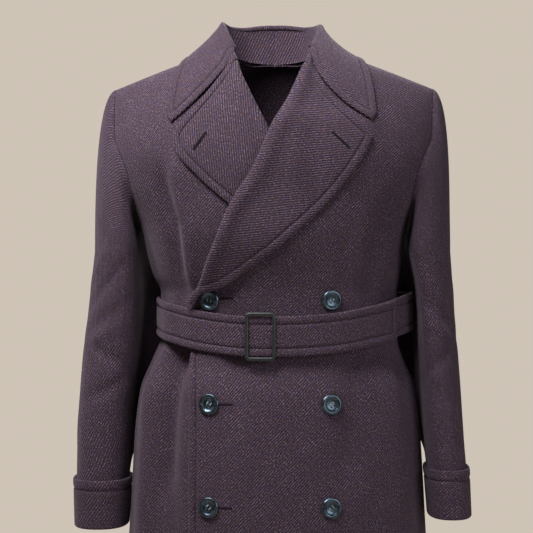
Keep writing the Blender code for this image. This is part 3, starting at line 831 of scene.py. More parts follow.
def set_before(*pairs: tuple[np.ndarray, np.ndarray]) -> list[np.ndarray]:
    """Sets the columns of a roll before those of the face that follows it.

    Args:
        pairs: what the roll and the face have of one kind.

    Returns:
        Each pair as one grid.
    """
    return [np.concatenate(pair, axis=1) for pair in pairs]


def roll_over(
    start: np.ndarray, way: np.ndarray, out: np.ndarray, radius: np.ndarray, steps: int = 9
) -> tuple[np.ndarray, np.ndarray]:
    """Gives the half-round roll that leads from under a turned-back piece to its face.

    Args:
        start: points where the face begins, one a row.
        way: direction from the roll towards the outer edge.
        out: outward direction.
        radius: radius of the roll, one a row.
        steps: number of columns.

    Returns:
        Middle points and outward directions, rows by steps.
    """
    turn = np.linspace(math.pi, 0, steps + 1)[:-1][None, :, None]
    reach = radius[:, None, None]
    way, out = way[:, None], out[:, None]
    middle = start[:, None] - way * reach * np.sin(turn) - out * reach * (1 - np.cos(turn))
    return middle, unit(out * np.cos(turn) - way * np.sin(turn))


@dataclass
class Body:
    """The two fronts and the two halves of the back."""

    finish: "WoolTwill"
    skirt_rows: int = 64
    waist_rows: int = 56
    chest_rows: int = 66
    hip: float = -0.50
    front_columns: int = 124
    front_crowding: float = 1.6
    back_columns: int = 64
    roll_inset: float = 0.0036
    front_reach: float = 0.15
    lapel_foot: float = -0.372
    edge_puff: float = 0.0020
    puff_place: float = 0.005
    edge_bridge: float = 0.85
    stiff_levels: tuple[float, float] = (-0.47, -0.43)
    stiff_degrees: tuple[float, float] = (-30.0, -23.0)
    cloth_share: float = 0.3
    view_share: float = 0.7
    front_cut: Cut = Cut(0.44, 1.22, 0.430, "hung", ("wearer_shoulders",))
    back_cut: Cut = Cut(0.37, 1.24, 0.310, "hung", ("wearer_shoulders",))

    def heights(self) -> np.ndarray:
        """Gives the heights up the cloth of a panel's rows.

        Returns:
            Heights from the hem to the shoulder seam.
        """
        skirt = np.linspace(FORM.hem, self.hip, self.skirt_rows)
        waist = np.linspace(self.hip, FORM.armhole_foot, self.waist_rows)[1:]
        chest = np.linspace(FORM.armhole_foot, FORM.top, self.chest_rows)[1:]
        return np.concatenate([skirt, waist, chest])

    @staticmethod
    def spread(
        side: Side, girth: np.ndarray, inner_edge: np.ndarray, outer_edge: np.ndarray, share: np.ndarray
    ) -> tuple[np.ndarray, np.ndarray]:
        """Spreads a panel's columns between its two edges.

        Args:
            side: which side.
            girth: heights up the cloth, one a row.
            inner_edge: angle of the inner edge, one a row.
            outer_edge: angle of the outer edge, one a row.
            share: place between the edges, one a column.

        Returns:
            Angles round the coat and heights up the cloth, rows by columns.
        """
        angle = side.value * (inner_edge[:, None] + (outer_edge - inner_edge)[:, None] * share[None, :])
        return angle, np.repeat(girth[:, None], len(share), axis=1)

    def front(self, side: Side) -> None:
        """Builds one front; the wearer's left one laps over.

        Args:
            side: which front.
        """
        girth = self.heights()
        inset = self.roll_inset / self.front_reach * ease(girth, self.lapel_foot, self.lapel_foot + 0.035)
        inner_edge = FORM.roll_angle(girth) + inset
        outer_edge = FORM.seam_angle(girth, "front")
        share = np.linspace(0, 1, self.front_columns) ** self.front_crowding
        angle, rows = self.spread(side, girth, inner_edge, outer_edge, share)
        lift = np.zeros(angle.shape)
        if side is Side.LEFT:
            seen = FORM.torso(angle, rows)
            lift = FORM.overlap_lift(seen[..., 0], seen[..., 2])
            level, degrees = FORM.level(rows), np.degrees(angle)
            stiff = (1 - ease(level, *self.stiff_levels)) * (1 - ease(degrees, *self.stiff_degrees))
            lift = lift - self.edge_bridge * stiff * np.minimum(FORM.fold_height(degrees, level), 0)
        plain = FORM.lifted(angle, rows, lift)
        along_row = arc(plain, 1)
        puff = np.exp(-(((along_row - self.puff_place) / self.puff_place) ** 2))
        sewn = sewn_swell(along_row) + self.edge_puff * puff
        sewn = sewn * (1 - ease(rows, self.lapel_foot - 0.030, self.lapel_foot - 0.006))
        round_off = FORM.cloth / 2 - rounded_half(FORM.cloth, along_row)
        outer = FORM.lifted(angle, rows, lift + (sewn if side is Side.LEFT else 0.0) - round_off)
        inner = FORM.lifted(angle, rows, lift - FORM.cloth + round_off)
        outer[-1, :, 1] -= FORM.seam_gap
        inner[-1, :, 1] -= FORM.seam_gap
        over = side.value * (np.abs(outer[:, :1, 0]) * np.sign(side.value * outer[:, :1, 0]) + along_row)
        edge = np.where(girth[:, None] < self.lapel_foot, along_row, 1.0)
        up = self.cloth_share * rows + self.view_share * outer[..., 2]
        wall = Wall(outer, inner, over, up, edge, rows)
        name = "front_" + side.word
        ClothPiece(self.finish).sew(name, wall, Grain.BODY, self.front_cut)

    def back(self, side: Side) -> None:
        """Builds one half of the back.

        Args:
            side: which half.
        """
        girth = self.heights()
        neck = FORM.over(np.array(FORM.back_neck_degrees))
        share_up = np.clip((FORM.top - girth) / (FORM.top - neck), 0, 1)
        across = FORM.neck_half_width * np.sqrt(1 - share_up**2)
        inner_edge = math.pi - FORM.angle_at(across, girth)
        outer_edge = FORM.seam_angle(girth, "back")
        share = np.linspace(0, 1, self.back_columns)
        angle, rows = self.spread(side, girth, inner_edge, outer_edge, share)
        outer = FORM.lifted(angle, rows, 0.0)
        inner = FORM.lifted(angle, rows, -FORM.cloth)
        outer[-1, :, 1] += FORM.seam_gap
        inner[-1, :, 1] += FORM.seam_gap
        over = -side.value * (np.abs(outer[:, :1, 0]) + arc(outer, 1))
        up = self.cloth_share * rows + self.view_share * outer[..., 2]
        wall = Wall(outer, inner, over, up)
        name = "back_" + side.word
        ClothPiece(self.finish).sew(name, wall, Grain.BODY, self.back_cut)

    def build(self) -> None:
        """Builds the four panels."""
        for side in Side:
            self.back(side)
            self.front(side)


@dataclass
class Lapels:
    """The two lapels, turned back from the roll line."""

    finish: "WoolTwill"
    top_rows: int = 170
    lower_rows: int = 110
    columns: int = 60
    roll: float = 0.004
    roll_swell: float = 0.0042
    roll_breadth: float = 0.013
    foot_rise: float = 0.0062
    notch_drop: float = 0.0060
    top_cut: Cut = Cut(0.125, 0.42, 0.0390, "folded", ("front_left",))
    lower_cut: Cut = Cut(0.125, 0.24, 0.0220, "folded", ("front_right",))
    top_table: tuple[LapelRow, ...] = (
        LapelRow(0.00, 0.0520, -0.0235, 0.0755, -0.0675, 0.1360, -0.1285),
        LapelRow(0.04, 0.0480, -0.0335, 0.0790, -0.0800, 0.1405, -0.1405),
        LapelRow(0.10, 0.0410, -0.0490, 0.0810, -0.0980, 0.1360, -0.1525),
        LapelRow(0.22, 0.0296, -0.0780, 0.0670, -0.1310, 0.1080, -0.1960),
        LapelRow(0.38, 0.0014, -0.1320, 0.0370, -0.1860, 0.0720, -0.2400),
        LapelRow(0.56, -0.0220, -0.1850, 0.0040, -0.2330, 0.0280, -0.2800),
        LapelRow(0.74, -0.0505, -0.2340, -0.0350, -0.2720, -0.0200, -0.3180),
        LapelRow(0.88, -0.0785, -0.3000, -0.0700, -0.3260, -0.0600, -0.3460),
        LapelRow(0.96, -0.1000, -0.3520, -0.0970, -0.3565, -0.0930, -0.3605),
        LapelRow(1.00, -0.1100, -0.3720, -0.1075, -0.3735, -0.1040, -0.3740),
    )
    lower_table: tuple[LapelRow, ...] = (
        LapelRow(0.00, 0.0520, -0.0235, 0.0790, -0.0650, 0.1300, -0.1250),
        LapelRow(0.05, 0.0480, -0.0335, 0.0800, -0.0780, 0.1370, -0.1420),
        LapelRow(0.16, 0.0440, -0.0490, 0.0800, -0.0960, 0.1290, -0.1640),
        LapelRow(0.40, 0.0285, -0.0820, 0.0640, -0.1330, 0.0960, -0.2010),
        LapelRow(0.72, 0.0032, -0.1320, 0.0290, -0.1800, 0.0530, -0.2400),
        LapelRow(1.00, -0.0105, -0.1620, 0.0110, -0.2120, 0.0340, -0.2600),
    )

    def lift(
        self, across: np.ndarray, height: np.ndarray, station: np.ndarray, share: np.ndarray, top: bool
    ) -> np.ndarray:
        """Gives how far the underside of a lapel lies off the base form.

        Args:
            across: distances over from the centre, towards the lapel's own side.
            height: heights in the front view.
            station: how far down the lapel.
            share: how far out from the roll line.
            top: whether it is the top lapel.

        Returns:
            Lifts in metres.
        """
        if top:
            roll = self.roll * (1 - share) ** 2 * (1 - ease(station, 0.8, 1.0))
            roll = roll + self.foot_rise * ease(station, 0.78, 0.89)
            return FORM.overlap_lift(across, height) + FORM.lie_gap + roll
        return FORM.lie_gap + self.roll * (1 - share) ** 2 * (1 - ease(station, 0.25, 0.60))

    def lapel(self, top: bool) -> None:
        """Builds one lapel.

        Args:
            top: True for the top lapel on the wearer's left, False for the lower one.
        """
        table = self.top_table if top else self.lower_table
        side = 1 if top else -1
        rows = self.top_rows if top else self.lower_rows
        station = (np.linspace(0, 1, rows) ** ROW_CROWDING)[:, None]
        even = (1 - (1 - np.linspace(0, 1, self.columns)) ** COLUMN_CROWDING)[None, :]
        read = {name: along(table, "station", station, name) for name in LapelRow._fields[1:]}
        width = np.hypot(read["edge_x"] - read["fold_x"], read["edge_z"] - read["fold_z"])
        at_fold = self.lift(read["fold_x"], read["fold_z"], station, np.zeros((1, 1)), top)
        base = FORM.overlap_lift(read["fold_x"], read["fold_z"]) if top else np.zeros_like(at_fold)
        radius = (at_fold - base + FORM.double_cloth / 2 + FORM.cloth / 2) / 2
        radius = np.minimum(radius, 0.4 * width)
        share = radius / width + (1 - radius / width) * even
        across = bent(read["fold_x"], read["bend_x"], read["edge_x"], share)
        height = bent(read["fold_z"], read["bend_z"], read["edge_z"], share)
        if top:
            height = height - self.notch_drop * ease(share, 0.36, 0.60) * (1 - ease(station, 0.0, 0.08))
        girth = FORM.girth_at(across, height)
        angle = side * FORM.angle_at(across, girth)
        lift = self.lift(across, height, station, share, top) + FORM.double_cloth / 2
        from_fold = share * width
        swell = np.minimum(self.roll_swell, 0.10 * width) * (1 - ease(station, 0.90, 1.0))
        lift = lift + swell * np.exp(-(((from_fold - self.roll_breadth) / self.roll_breadth) ** 2))
        middle = FORM.lifted(angle, girth, lift)
        out = FORM.outward(angle, girth)
        line = np.concatenate([middle[0], middle[1:, -1]])
        edge, run = sewn_edge(middle, line)
        half = rounded_half(FORM.double_cloth, edge)
        way = unit(middle[:, 2] - middle[:, 0])
        roll_middle, roll_out = roll_over(middle[:, 0], way, out[:, 0], radius[:, 0])
        thin = np.linspace(FORM.cloth / 2, FORM.double_cloth / 2, roll_middle.shape[1] + 1)[None, :-1]
        roll_edge, roll_run = sewn_edge(roll_middle, line)
        roll_half = np.minimum(thin, rounded_half(FORM.double_cloth, roll_edge))
        middle, out, half = set_before((roll_middle, middle), (roll_out, out), (roll_half, half))
        edge, run = set_before((roll_edge, edge), (roll_run, run))
        outer = middle + out * (half + sewn_swell(edge))[..., None]
        inner = middle - out * half[..., None]
        wall = Wall(outer, inner, middle[..., 0], middle[..., 2], edge, run)
        name = "lapel_left" if top else "lapel_right"
        grain = Grain.TOP_LAPEL if top else Grain.LOWER_LAPEL
        cut = self.top_cut if top else self.lower_cut
        ClothPiece(self.finish).sew(name, wall, grain, cut)

    def build(self) -> None:
        """Builds both lapels."""
        self.lapel(False)
        self.lapel(True)


@dataclass
class Collar:
    """The collar: the fall that lies on the shoulders and the stand inside it."""

    finish: "WoolTwill"
    rows: int = 190
    columns: int = 46
    stand_rows: int = 150
    stand_columns: int = 18
    stand_reach: float = 0.93
    stand_inset: float = 0.0042
    stand_below: float = 0.0015
    foot_lift: float = 0.0012
    foot_tuck: float = 0.0052
    foot_turn: float = 2.5
    wall: float = 0.0034
    roll_radius: float = 0.0026
    gorge_close: float = 0.55
    fall_cut: Cut = Cut(0.56, 0.13, 0.0545, "folded", ("collar_stand", "front_left", "front_right"))
    stand_cut: Cut = Cut(0.40, 0.06, 0.0155, "folded", ("back_left", "back_right"))
    table: tuple[CollarRow, ...] = (
        CollarRow(0.00, 0.0000, 112.5, 0.0510, 0.0000, 119.5, 0.0330, 0.0000, 130.0),
        CollarRow(0.20, 0.0330, 111.0, 0.0495, 0.0435, 117.5, 0.0310, 0.0520, 128.0),
        CollarRow(0.40, 0.0580, 105.0, 0.0450, 0.0760, 109.0, 0.0240, 0.0980, 115.0),
        CollarRow(0.58, 0.0660, 95.0, 0.0385, 0.0920, 94.0, 0.0165, 0.1260, 92.0),
        CollarRow(0.72, 0.0650, 84.0, 0.0270, 0.0985, 76.0, 0.0100, 0.1370, 68.0),
        CollarRow(0.84, 0.0605, 74.0, 0.0150, 0.0980, 62.0, 0.0055, 0.1440, 49.5),
        CollarRow(0.94, 0.0550, 66.0, 0.0080, 0.0860, 50.0, 0.0030, 0.1470, 35.5),
        CollarRow(1.00, 0.0520, 61.6, 0.0050, 0.0775, 46.3, 0.0020, 0.1400, 29.0),
    )
    left_rows: tuple[CollarRow, ...] = (
        CollarRow(0.40, 0.0550, 105.0, 0.0440, 0.0740, 109.0, 0.0200, 0.0980, 115.0),
        CollarRow(0.58, 0.0620, 95.0, 0.0320, 0.0900, 94.0, 0.0090, 0.1260, 92.0),
        CollarRow(0.72, 0.0630, 84.0, 0.0215, 0.0975, 76.0, 0.0055, 0.1370, 68.0),
        CollarRow(0.84, 0.0600, 74.0, 0.0125, 0.0980, 62.0, 0.0035, 0.1440, 49.5),
        CollarRow(0.94, 0.0550, 66.0, 0.0080, 0.0860, 50.0, 0.0030, 0.1470, 35.5),
        CollarRow(1.00, 0.0520, 61.6, 0.0050, 0.0770, 42.7, 0.0030, 0.1390, 29.6),
    )
    neck_seam: tuple[NeckRow, ...] = (
        NeckRow(0.00, 0.0000, 118.0),
        NeckRow(0.20, 0.0330, 116.0),
        NeckRow(0.40, 0.0610, 107.0),
        NeckRow(0.58, 0.0725, 94.0),
        NeckRow(0.72, 0.0705, 84.0),
        NeckRow(0.84, 0.0650, 75.0),
        NeckRow(0.94, 0.0590, 67.0),
        NeckRow(1.00, 0.0560, 63.0),
    )

    def read(self, station: np.ndarray) -> dict[str, np.ndarray]:
        """Reads every column of the collar's table.

        Args:
            station: -1 at the wearer's right end, 0 at centre back, 1 at the left end.

        Returns:
            The columns by name.
        """
        left_table = self.table[:2] + self.left_rows
        read = {}
        for name in CollarRow._fields[1:]:
            right = along(self.table, "station", np.abs(station), name)
            left = along(left_table, "station", np.abs(station), name)
            read[name] = np.where(station > 0, left, right)
        return read

    def fall(self) -> None:
        """Builds the fall."""
        even = np.linspace(-1, 1, self.rows)
        station = (np.sign(even) * (1 - (1 - np.abs(even)) ** ROW_CROWDING))[:, None]
        side = np.where(station < 0, -1.0, 1.0)
        share = (1 - (1 - np.linspace(0, 1, self.columns)) ** COLUMN_CROWDING)[None, :]
        read = self.read(station)
        across = side * bent(read["fold_x"], read["bend_x"], read["edge_x"], share)
        turn = bent(read["fold_turn"], read["bend_turn"], read["edge_turn"], share)
        turn = turn - self.gorge_close * ease(np.abs(station), 0.93, 1.0) * (1 - ease(share, 0.28, 0.46))
        lift = FORM.lie_gap + np.maximum(bent(read["fold_lift"], read["bend_lift"], 0.0, share), 0)
        girth = FORM.over(turn)
        angle = FORM.angle_at(across, girth)
        seen = FORM.torso(angle, girth)
        raised = (side > 0) & (turn < 90)
        lift = lift + np.where(raised, FORM.overlap_lift(seen[..., 0], seen[..., 2]), 0.0)
        middle = FORM.lifted(angle, girth, lift + self.wall / 2)
        out = FORM.outward(angle, girth)
        line = np.concatenate([middle[0], middle[1:-1, -1], middle[-1, ::-1]])
        edge, run = sewn_edge(middle, line)
        square = normals(middle)
        square = square * np.sign((square * out).sum(axis=-1, keepdims=True))
        way = unit(middle[:, 2] - middle[:, 0])
        radius = np.full(self.rows, self.roll_radius)
        roll_middle, roll_out = roll_over(middle[:, 0], way, square[:, 0], radius)
        roll_edge, roll_run = sewn_edge(roll_middle, line)
        middle, square = set_before((roll_middle, middle), (roll_out, square))
        edge, run = set_before((roll_edge, edge), (roll_run, run))
        half = rounded_half(self.wall, edge)[..., None]
        over = np.repeat(arc(middle[:, -8:-7], 0), middle.shape[1], axis=1)
        outer = middle + square * (half + sewn_swell(edge)[..., None])
        wall = Wall(outer, middle - square * half, over - over.mean(), -arc(middle, 1), edge, run)
        ClothPiece(self.finish).sew("collar_fall", wall, Grain.COLLAR, self.fall_cut)

    def stand(self) -> None:
        """Builds the stand."""
        station = np.linspace(-self.stand_reach, self.stand_reach, self.stand_rows)[:, None]
        side = np.where(station < 0, -1.0, 1.0)
        share = np.linspace(0, 1, self.stand_columns)[None, :]
        read = self.read(station)
        neck_turn = along(self.neck_seam, "station", np.abs(station), "turn")
        neck_x = along(self.neck_seam, "station", np.abs(station), "across")
        top_x = np.maximum(read["fold_x"] - self.stand_inset, 0.0)
        across = side * (neck_x + (top_x - neck_x) * share)
        turn = neck_turn + (read["fold_turn"] - neck_turn) * share
        behind = 1 - ease(np.abs(station), 0.25, 0.50)
        turn = turn + self.foot_turn * behind * (1 - share)
        foot = self.foot_lift - self.foot_tuck * behind
        lift = foot + (read["fold_lift"] - self.stand_below - foot) * share
        girth = FORM.over(turn)
        middle = FORM.lifted(FORM.angle_at(across, girth), girth, lift)
        square = normals(middle) * FORM.cloth / 2
        wall = Wall(middle + square, middle - square, arc(middle, 0), arc(middle, 1))
        ClothPiece(self.finish).sew("collar_stand", wall, Grain.BODY, self.stand_cut)

    def build(self) -> None:
        """Builds both pieces of the collar."""
        self.stand()
        self.fall()


@dataclass
class Sleeves:
    """The two-piece sleeves and their turned-back cuffs."""

    finish: "WoolTwill"
    cap_rows: int = 40
    tube_rows: int = 120
    roundness: float = 0.85
    seam_stand: float = 0.0006
    cap_lead: Place = (1.0, 0.0, -0.28)
    cap_least: float = 0.006
    cap_more: float = 0.020
    cap_fall: float = 0.45
    crease_shift: float = 0.012
    crease_vary: float = 0.35
    ripple_height: float = 0.0007
    cuff_depth: float = 0.068
    cuff_hang: float = 0.002
    cuff_span: float = 0.070
    cuff_turning: float = 0.004
    cuff_wall: float = 0.0040
    cuff_stitch: float = 0.015
    cuff_edge_in: float = 0.0035
    cuff_draw: float = 0.03
    hind_start: float = 180.0
    hind_end: float = 305.0
    top_cut: Cut = Cut(0.30, 0.66, 0.137, "hung", ("front_{}", "back_{}"))
    under_cut: Cut = Cut(0.12, 0.50, 0.055, "hung", ("front_{}", "back_{}"))
    cuff_cut: Cut = Cut(0.33, 0.071, 0.0230, "folded", ("sleeve_{}_top", "sleeve_{}_under"))
    left_table: tuple[SleeveRow, ...] = (
        SleeveRow(-0.6800, 0.2295, 0.2835, -0.024, 0.057, 0.000, 0.000),
        SleeveRow(-0.6100, 0.2240, 0.2810, -0.018, 0.061, 0.001, 0.000),
        SleeveRow(-0.5700, 0.2205, 0.2780, -0.012, 0.065, 0.002, 0.014),
        SleeveRow(-0.5000, 0.2150, 0.2740, -0.004, 0.070, 0.004, 0.022),
        SleeveRow(-0.4300, 0.2120, 0.2695, 0.002, 0.075, 0.007, 0.034),
        SleeveRow(-0.3700, 0.2100, 0.2650, 0.004, 0.079, 0.011, 0.031),
        SleeveRow(-0.3000, 0.1975, 0.2595, 0.002, 0.083, 0.014, 0.014),
    )
    right_table: tuple[SleeveRow, ...] = (
        SleeveRow(-0.6975, 0.2170, 0.2860, -0.020, 0.054, 0.000, 0.000),
        SleeveRow(-0.6300, 0.2130, 0.2880, -0.016, 0.059, 0.001, 0.002),
        SleeveRow(-0.5700, 0.2090, 0.2880, -0.011, 0.063, 0.002, 0.021),
        SleeveRow(-0.5000, 0.2045, 0.2845, -0.004, 0.069, 0.004, 0.029),
        SleeveRow(-0.4300, 0.1960, 0.2795, 0.002, 0.074, 0.008, 0.034),
        SleeveRow(-0.3700, 0.1940, 0.2720, 0.004, 0.079, 0.012, 0.028),
        SleeveRow(-0.3000, 0.1975, 0.2640, 0.002, 0.083, 0.014, 0.014),
    )
    creases: tuple[SleeveCrease, ...] = (
        SleeveCrease(70.0, -0.400, 0.030, 50.0, 0.012, -0.0026),
        SleeveCrease(85.0, -0.455, -0.020, 45.0, 0.010, -0.0030),
        SleeveCrease(60.0, -0.345, 0.035, 40.0, 0.013, -0.0022),
        SleeveCrease(95.0, -0.510, 0.018, 42.0, 0.012, -0.0022),
        SleeveCrease(50.0, -0.300, 0.040, 35.0, 0.014, 0.0022),
        SleeveCrease(75.0, -0.425, 0.015, 40.0, 0.011, 0.0018),
        SleeveCrease(285.0, -0.430, 0.024, 40.0, 0.014, 0.0024),
        SleeveCrease(280.0, -0.480, -0.020, 40.0, 0.013, -0.0020),
    )

    def loop_girths(self) -> np.ndarray:
        """Gives the heights up the cloth at which the armhole is sampled, foot first.

        Returns:
            The heights.
        """
        places = (FORM.armhole_foot, FORM.fore_seam, FORM.armhole_bend, FORM.hind_seam, FORM.top)
        counts = (5, 6, 6, 34)
        runs = [np.linspace(a, b, n + 1)[:-1] for a, b, n in zip(places[:-1], places[1:], counts)]
        return np.concatenate(runs + [np.array([FORM.top])])

    def rings(self, table: tuple[SleeveRow, ...]) -> tuple[np.ndarray, np.ndarray]:
        """Gives the outer skin of a sleeve of the wearer's left side, from the armhole down.

        Args:
            table: the sleeve's rings.

        Returns:
            Rings of points, and the angle round the sleeve of each column.
        """
        girth = self.loop_girths()
        front = FORM.torso(FORM.seam_angle(girth, "front"), girth)
        back = FORM.torso(FORM.seam_angle(girth, "back"), girth)
        loop = np.concatenate([front[::-1], back[1:-1]])
        count, foot = len(loop), len(girth) - 1
        step = np.linalg.norm(np.roll(loop, -1, axis=0) - loop, axis=1)
        travelled = np.concatenate([[0.0], np.cumsum(step)])
        half_way, whole = travelled[foot], travelled[count]
        first = math.pi * travelled[:count] / half_way
        second = math.pi + math.pi * (travelled[:count] - half_way) / (whole - half_way)
        angle = np.where(np.arange(count) <= foot, first, second)
        level = np.linspace(table[-1].level, table[0].level, self.tube_rows)[:, None]
        read = {name: along(table, "level", level, name) for name in SleeveRow._fields[1:]}
        side = np.sign(np.cos(angle)) * np.abs(np.cos(angle)) ** self.roundness
        forth = np.sign(np.sin(angle)) * np.abs(np.sin(angle)) ** self.roundness
        x = (read["inner"] + read["outer"]) / 2 + (read["outer"] - read["inner"]) / 2 * side
        hind_turn = np.clip((np.degrees(angle) - self.hind_start) / (self.hind_end - self.hind_start), 0, 1)
        x = x - read["curl"] * forth**2 - read["hind"] * np.sin(math.pi * hind_turn) ** 2
        y = read["middle"] - read["half_depth"] * forth
        tube = np.stack([x, y, level + 0 * x], axis=-1)
        start = loop + np.array([self.seam_stand, 0.0, 0.0])
        landing = tube[0]
        rise = (start[:, 2] - table[-1].level)[:, None]
        upper = 0.5 + 0.5 * np.cos(angle)[:, None]
        leave = start + np.array(self.cap_lead) * (self.cap_least + self.cap_more * upper)
        arrive = landing + np.array([0.0, 0.0, 1.0]) * rise * self.cap_fall
        share = np.linspace(0, 1, self.cap_rows + 1)[:-1][:, None, None]
        rest = 1 - share
        cap = rest**3 * start + 3 * rest**2 * share * leave
        cap = cap + 3 * rest * share**2 * arrive + share**3 * landing
        return np.concatenate([cap, tube]), angle

    def creased(self, grid: np.ndarray, angle: np.ndarray, square: np.ndarray, seed: float) -> np.ndarray:
        """Moves a sleeve's skin in and out along its creases.

        Args:
            grid: rings of points.
            angle: angle round the sleeve of each column.
            square: outward directions.
            seed: makes the two sleeves differ.

        Returns:
            The creased rings.
        """
        degrees = np.degrees(angle)[None, :]
        height = np.zeros(grid.shape[:2])
        for number, crease in enumerate(self.creases):
            apart = (degrees - crease.angle + 180) % 360 - 180
            shift = self.crease_shift * math.sin(3.7 * number + 2.3 * seed)
            line = crease.level + shift + crease.rise * apart / crease.length
            bump = np.exp(-(((grid[..., 2] - line) / crease.breadth) ** 2) - (apart / crease.length) ** 2)
            vary = 1 + self.crease_vary * math.sin(5.1 * number + seed)
            height = height + crease.height * vary * bump
        height = height + self.ripple_height * ripple(angle[None, :], grid[..., 2], seed)
        fade = ease(-grid[..., 2], 0.20, 0.30) * ease(grid[..., 2], -0.60, -0.56)
        return grid + square * (height * fade)[..., None]

    def sleeve(self, side: Side) -> None:
        """Builds the top sleeve, the under sleeve and the cuff of one side.

        Args:
            side: which sleeve.
        """
        table = self.left_table if side is Side.LEFT else self.right_table
        word = side.word
        outer, angle = self.rings(table)
        square = ring_normals(outer)
        square[0, :, 0] = 0.0
        square[0] = unit(square[0])
        plain = outer
        outer = self.creased(outer, angle, square, 1.0 if side is Side.LEFT else 4.0)
        inner = outer - square * FORM.cloth
        flip = np.array([side.value, 1.0, 1.0])
        girth = self.loop_girths()
        count, foot = outer.shape[1], len(girth) - 1
        fore_seam = foot - int(np.argmin(np.abs(girth - FORM.fore_seam)))
        hind_seam = foot + int(np.argmin(np.abs(girth - FORM.hind_seam)))
        top = [column % count for column in range(hind_seam, count + fore_seam + 1)]
        under = list(range(fore_seam, hind_seam + 1))
        down = np.repeat(arc(outer, 0)[:, :1], count, axis=1)
        for ending, columns, cut in (("top", top, self.top_cut), ("under", under, self.under_cut)):
            skin = self.drawn_in(outer[:, columns]) * flip
            over = -side.value * (arc(outer[:, columns], 1) - 0.1)
            wall = Wall(skin, self.drawn_in(inner[:, columns]) * flip, over, -down[:, columns])
            name = "sleeve_%s_%s" % (word, ending)
            ClothPiece(self.finish).sew(name, wall, Grain.BODY, self.held_on(cut, word))
        self.cuff(plain, side)

    @staticmethod
    def held_on(cut: Cut, word: str) -> Cut:
        """Names the pieces of one side that hold a cut.

        Args:
            cut: the flat cut.
            word: left or right.

        Returns:
            The cut with its side's pieces.
        """
        return cut._replace(rests_on=tuple(piece.format(word) for piece in cut.rests_on))

    @staticmethod
    def drawn_in(part: np.ndarray) -> np.ndarray:
        """Draws the two outer columns of a part in by half a seam gap.

        Args:
            part: rows by columns of points.

        Returns:
            The part with its sides drawn in.
        """
        part = part.copy()
        for end, beside in ((0, 1), (-1, -2)):
            part[:, end] += unit(part[:, beside] - part[:, end]) * (FORM.seam_gap / 2 + 0.00005)
        return part

    def cuff(self, grid: np.ndarray, side: Side) -> None:
        """Builds one turned-back cuff, a strip whose ends meet at the hind seam.

        Args:
            grid: rings of the sleeve of the wearer's left side.
            side: which sleeve.
        """
        foot = grid[-1]
        way = grid[-6] - grid[-1]
        slant = way / way[:, 2:3]
        near, far = self.cuff_turning, self.cuff_span - self.cuff_turning
        top, end = np.linspace(0, near, 8)[:-1], np.linspace(far, self.cuff_span, 7)[1:]
        rows = np.concatenate([top, np.linspace(near, far, 28), end])
        depth = self.cuff_depth + self.cuff_hang
        rise = self.cuff_depth - rows * depth / self.cuff_span
        turn = len(self.loop_girths()) + 12
        order = [column % len(foot) for column in range(turn, turn + len(foot) + 1)]
        lower = foot[None] + slant[None] * rise[:, None, None]
        square = ring_normals(lower)
        square[..., 2] = 0.0
        square = unit(square)
        middle = lower + square * (FORM.lie_gap + self.cuff_wall / 2)
        middle, square = middle[:, order], square[:, order]
        draw = (middle[:, 1] - middle[:, 0]) * self.cuff_draw
        middle[:, 0] += draw
        middle[:, -1] -= draw
        from_top = (self.cuff_depth - rise)[:, None]
        from_foot = (rise + self.cuff_hang)[:, None]
        half = rounded_half(self.cuff_wall, np.minimum(from_top, from_foot))
        flip = np.array([side.value, 1.0, 1.0])
        face = half + sewn_swell(from_top, self.cuff_stitch)
        outer = (middle + square * face[..., None]) * flip
        inner = (middle - square * half[..., None]) * flip
        over = -side.value * arc(middle, 1)
        wall = Wall(outer, inner, over, -from_top, from_top - self.cuff_edge_in, over)
        cut = self.held_on(self.cuff_cut, side.word)
        ClothPiece(self.finish).sew("cuff_" + side.word, wall, Grain.BODY, cut)

    def build(self) -> None:
        """Builds both sleeves."""
        for side in Side:
            self.sleeve(side)


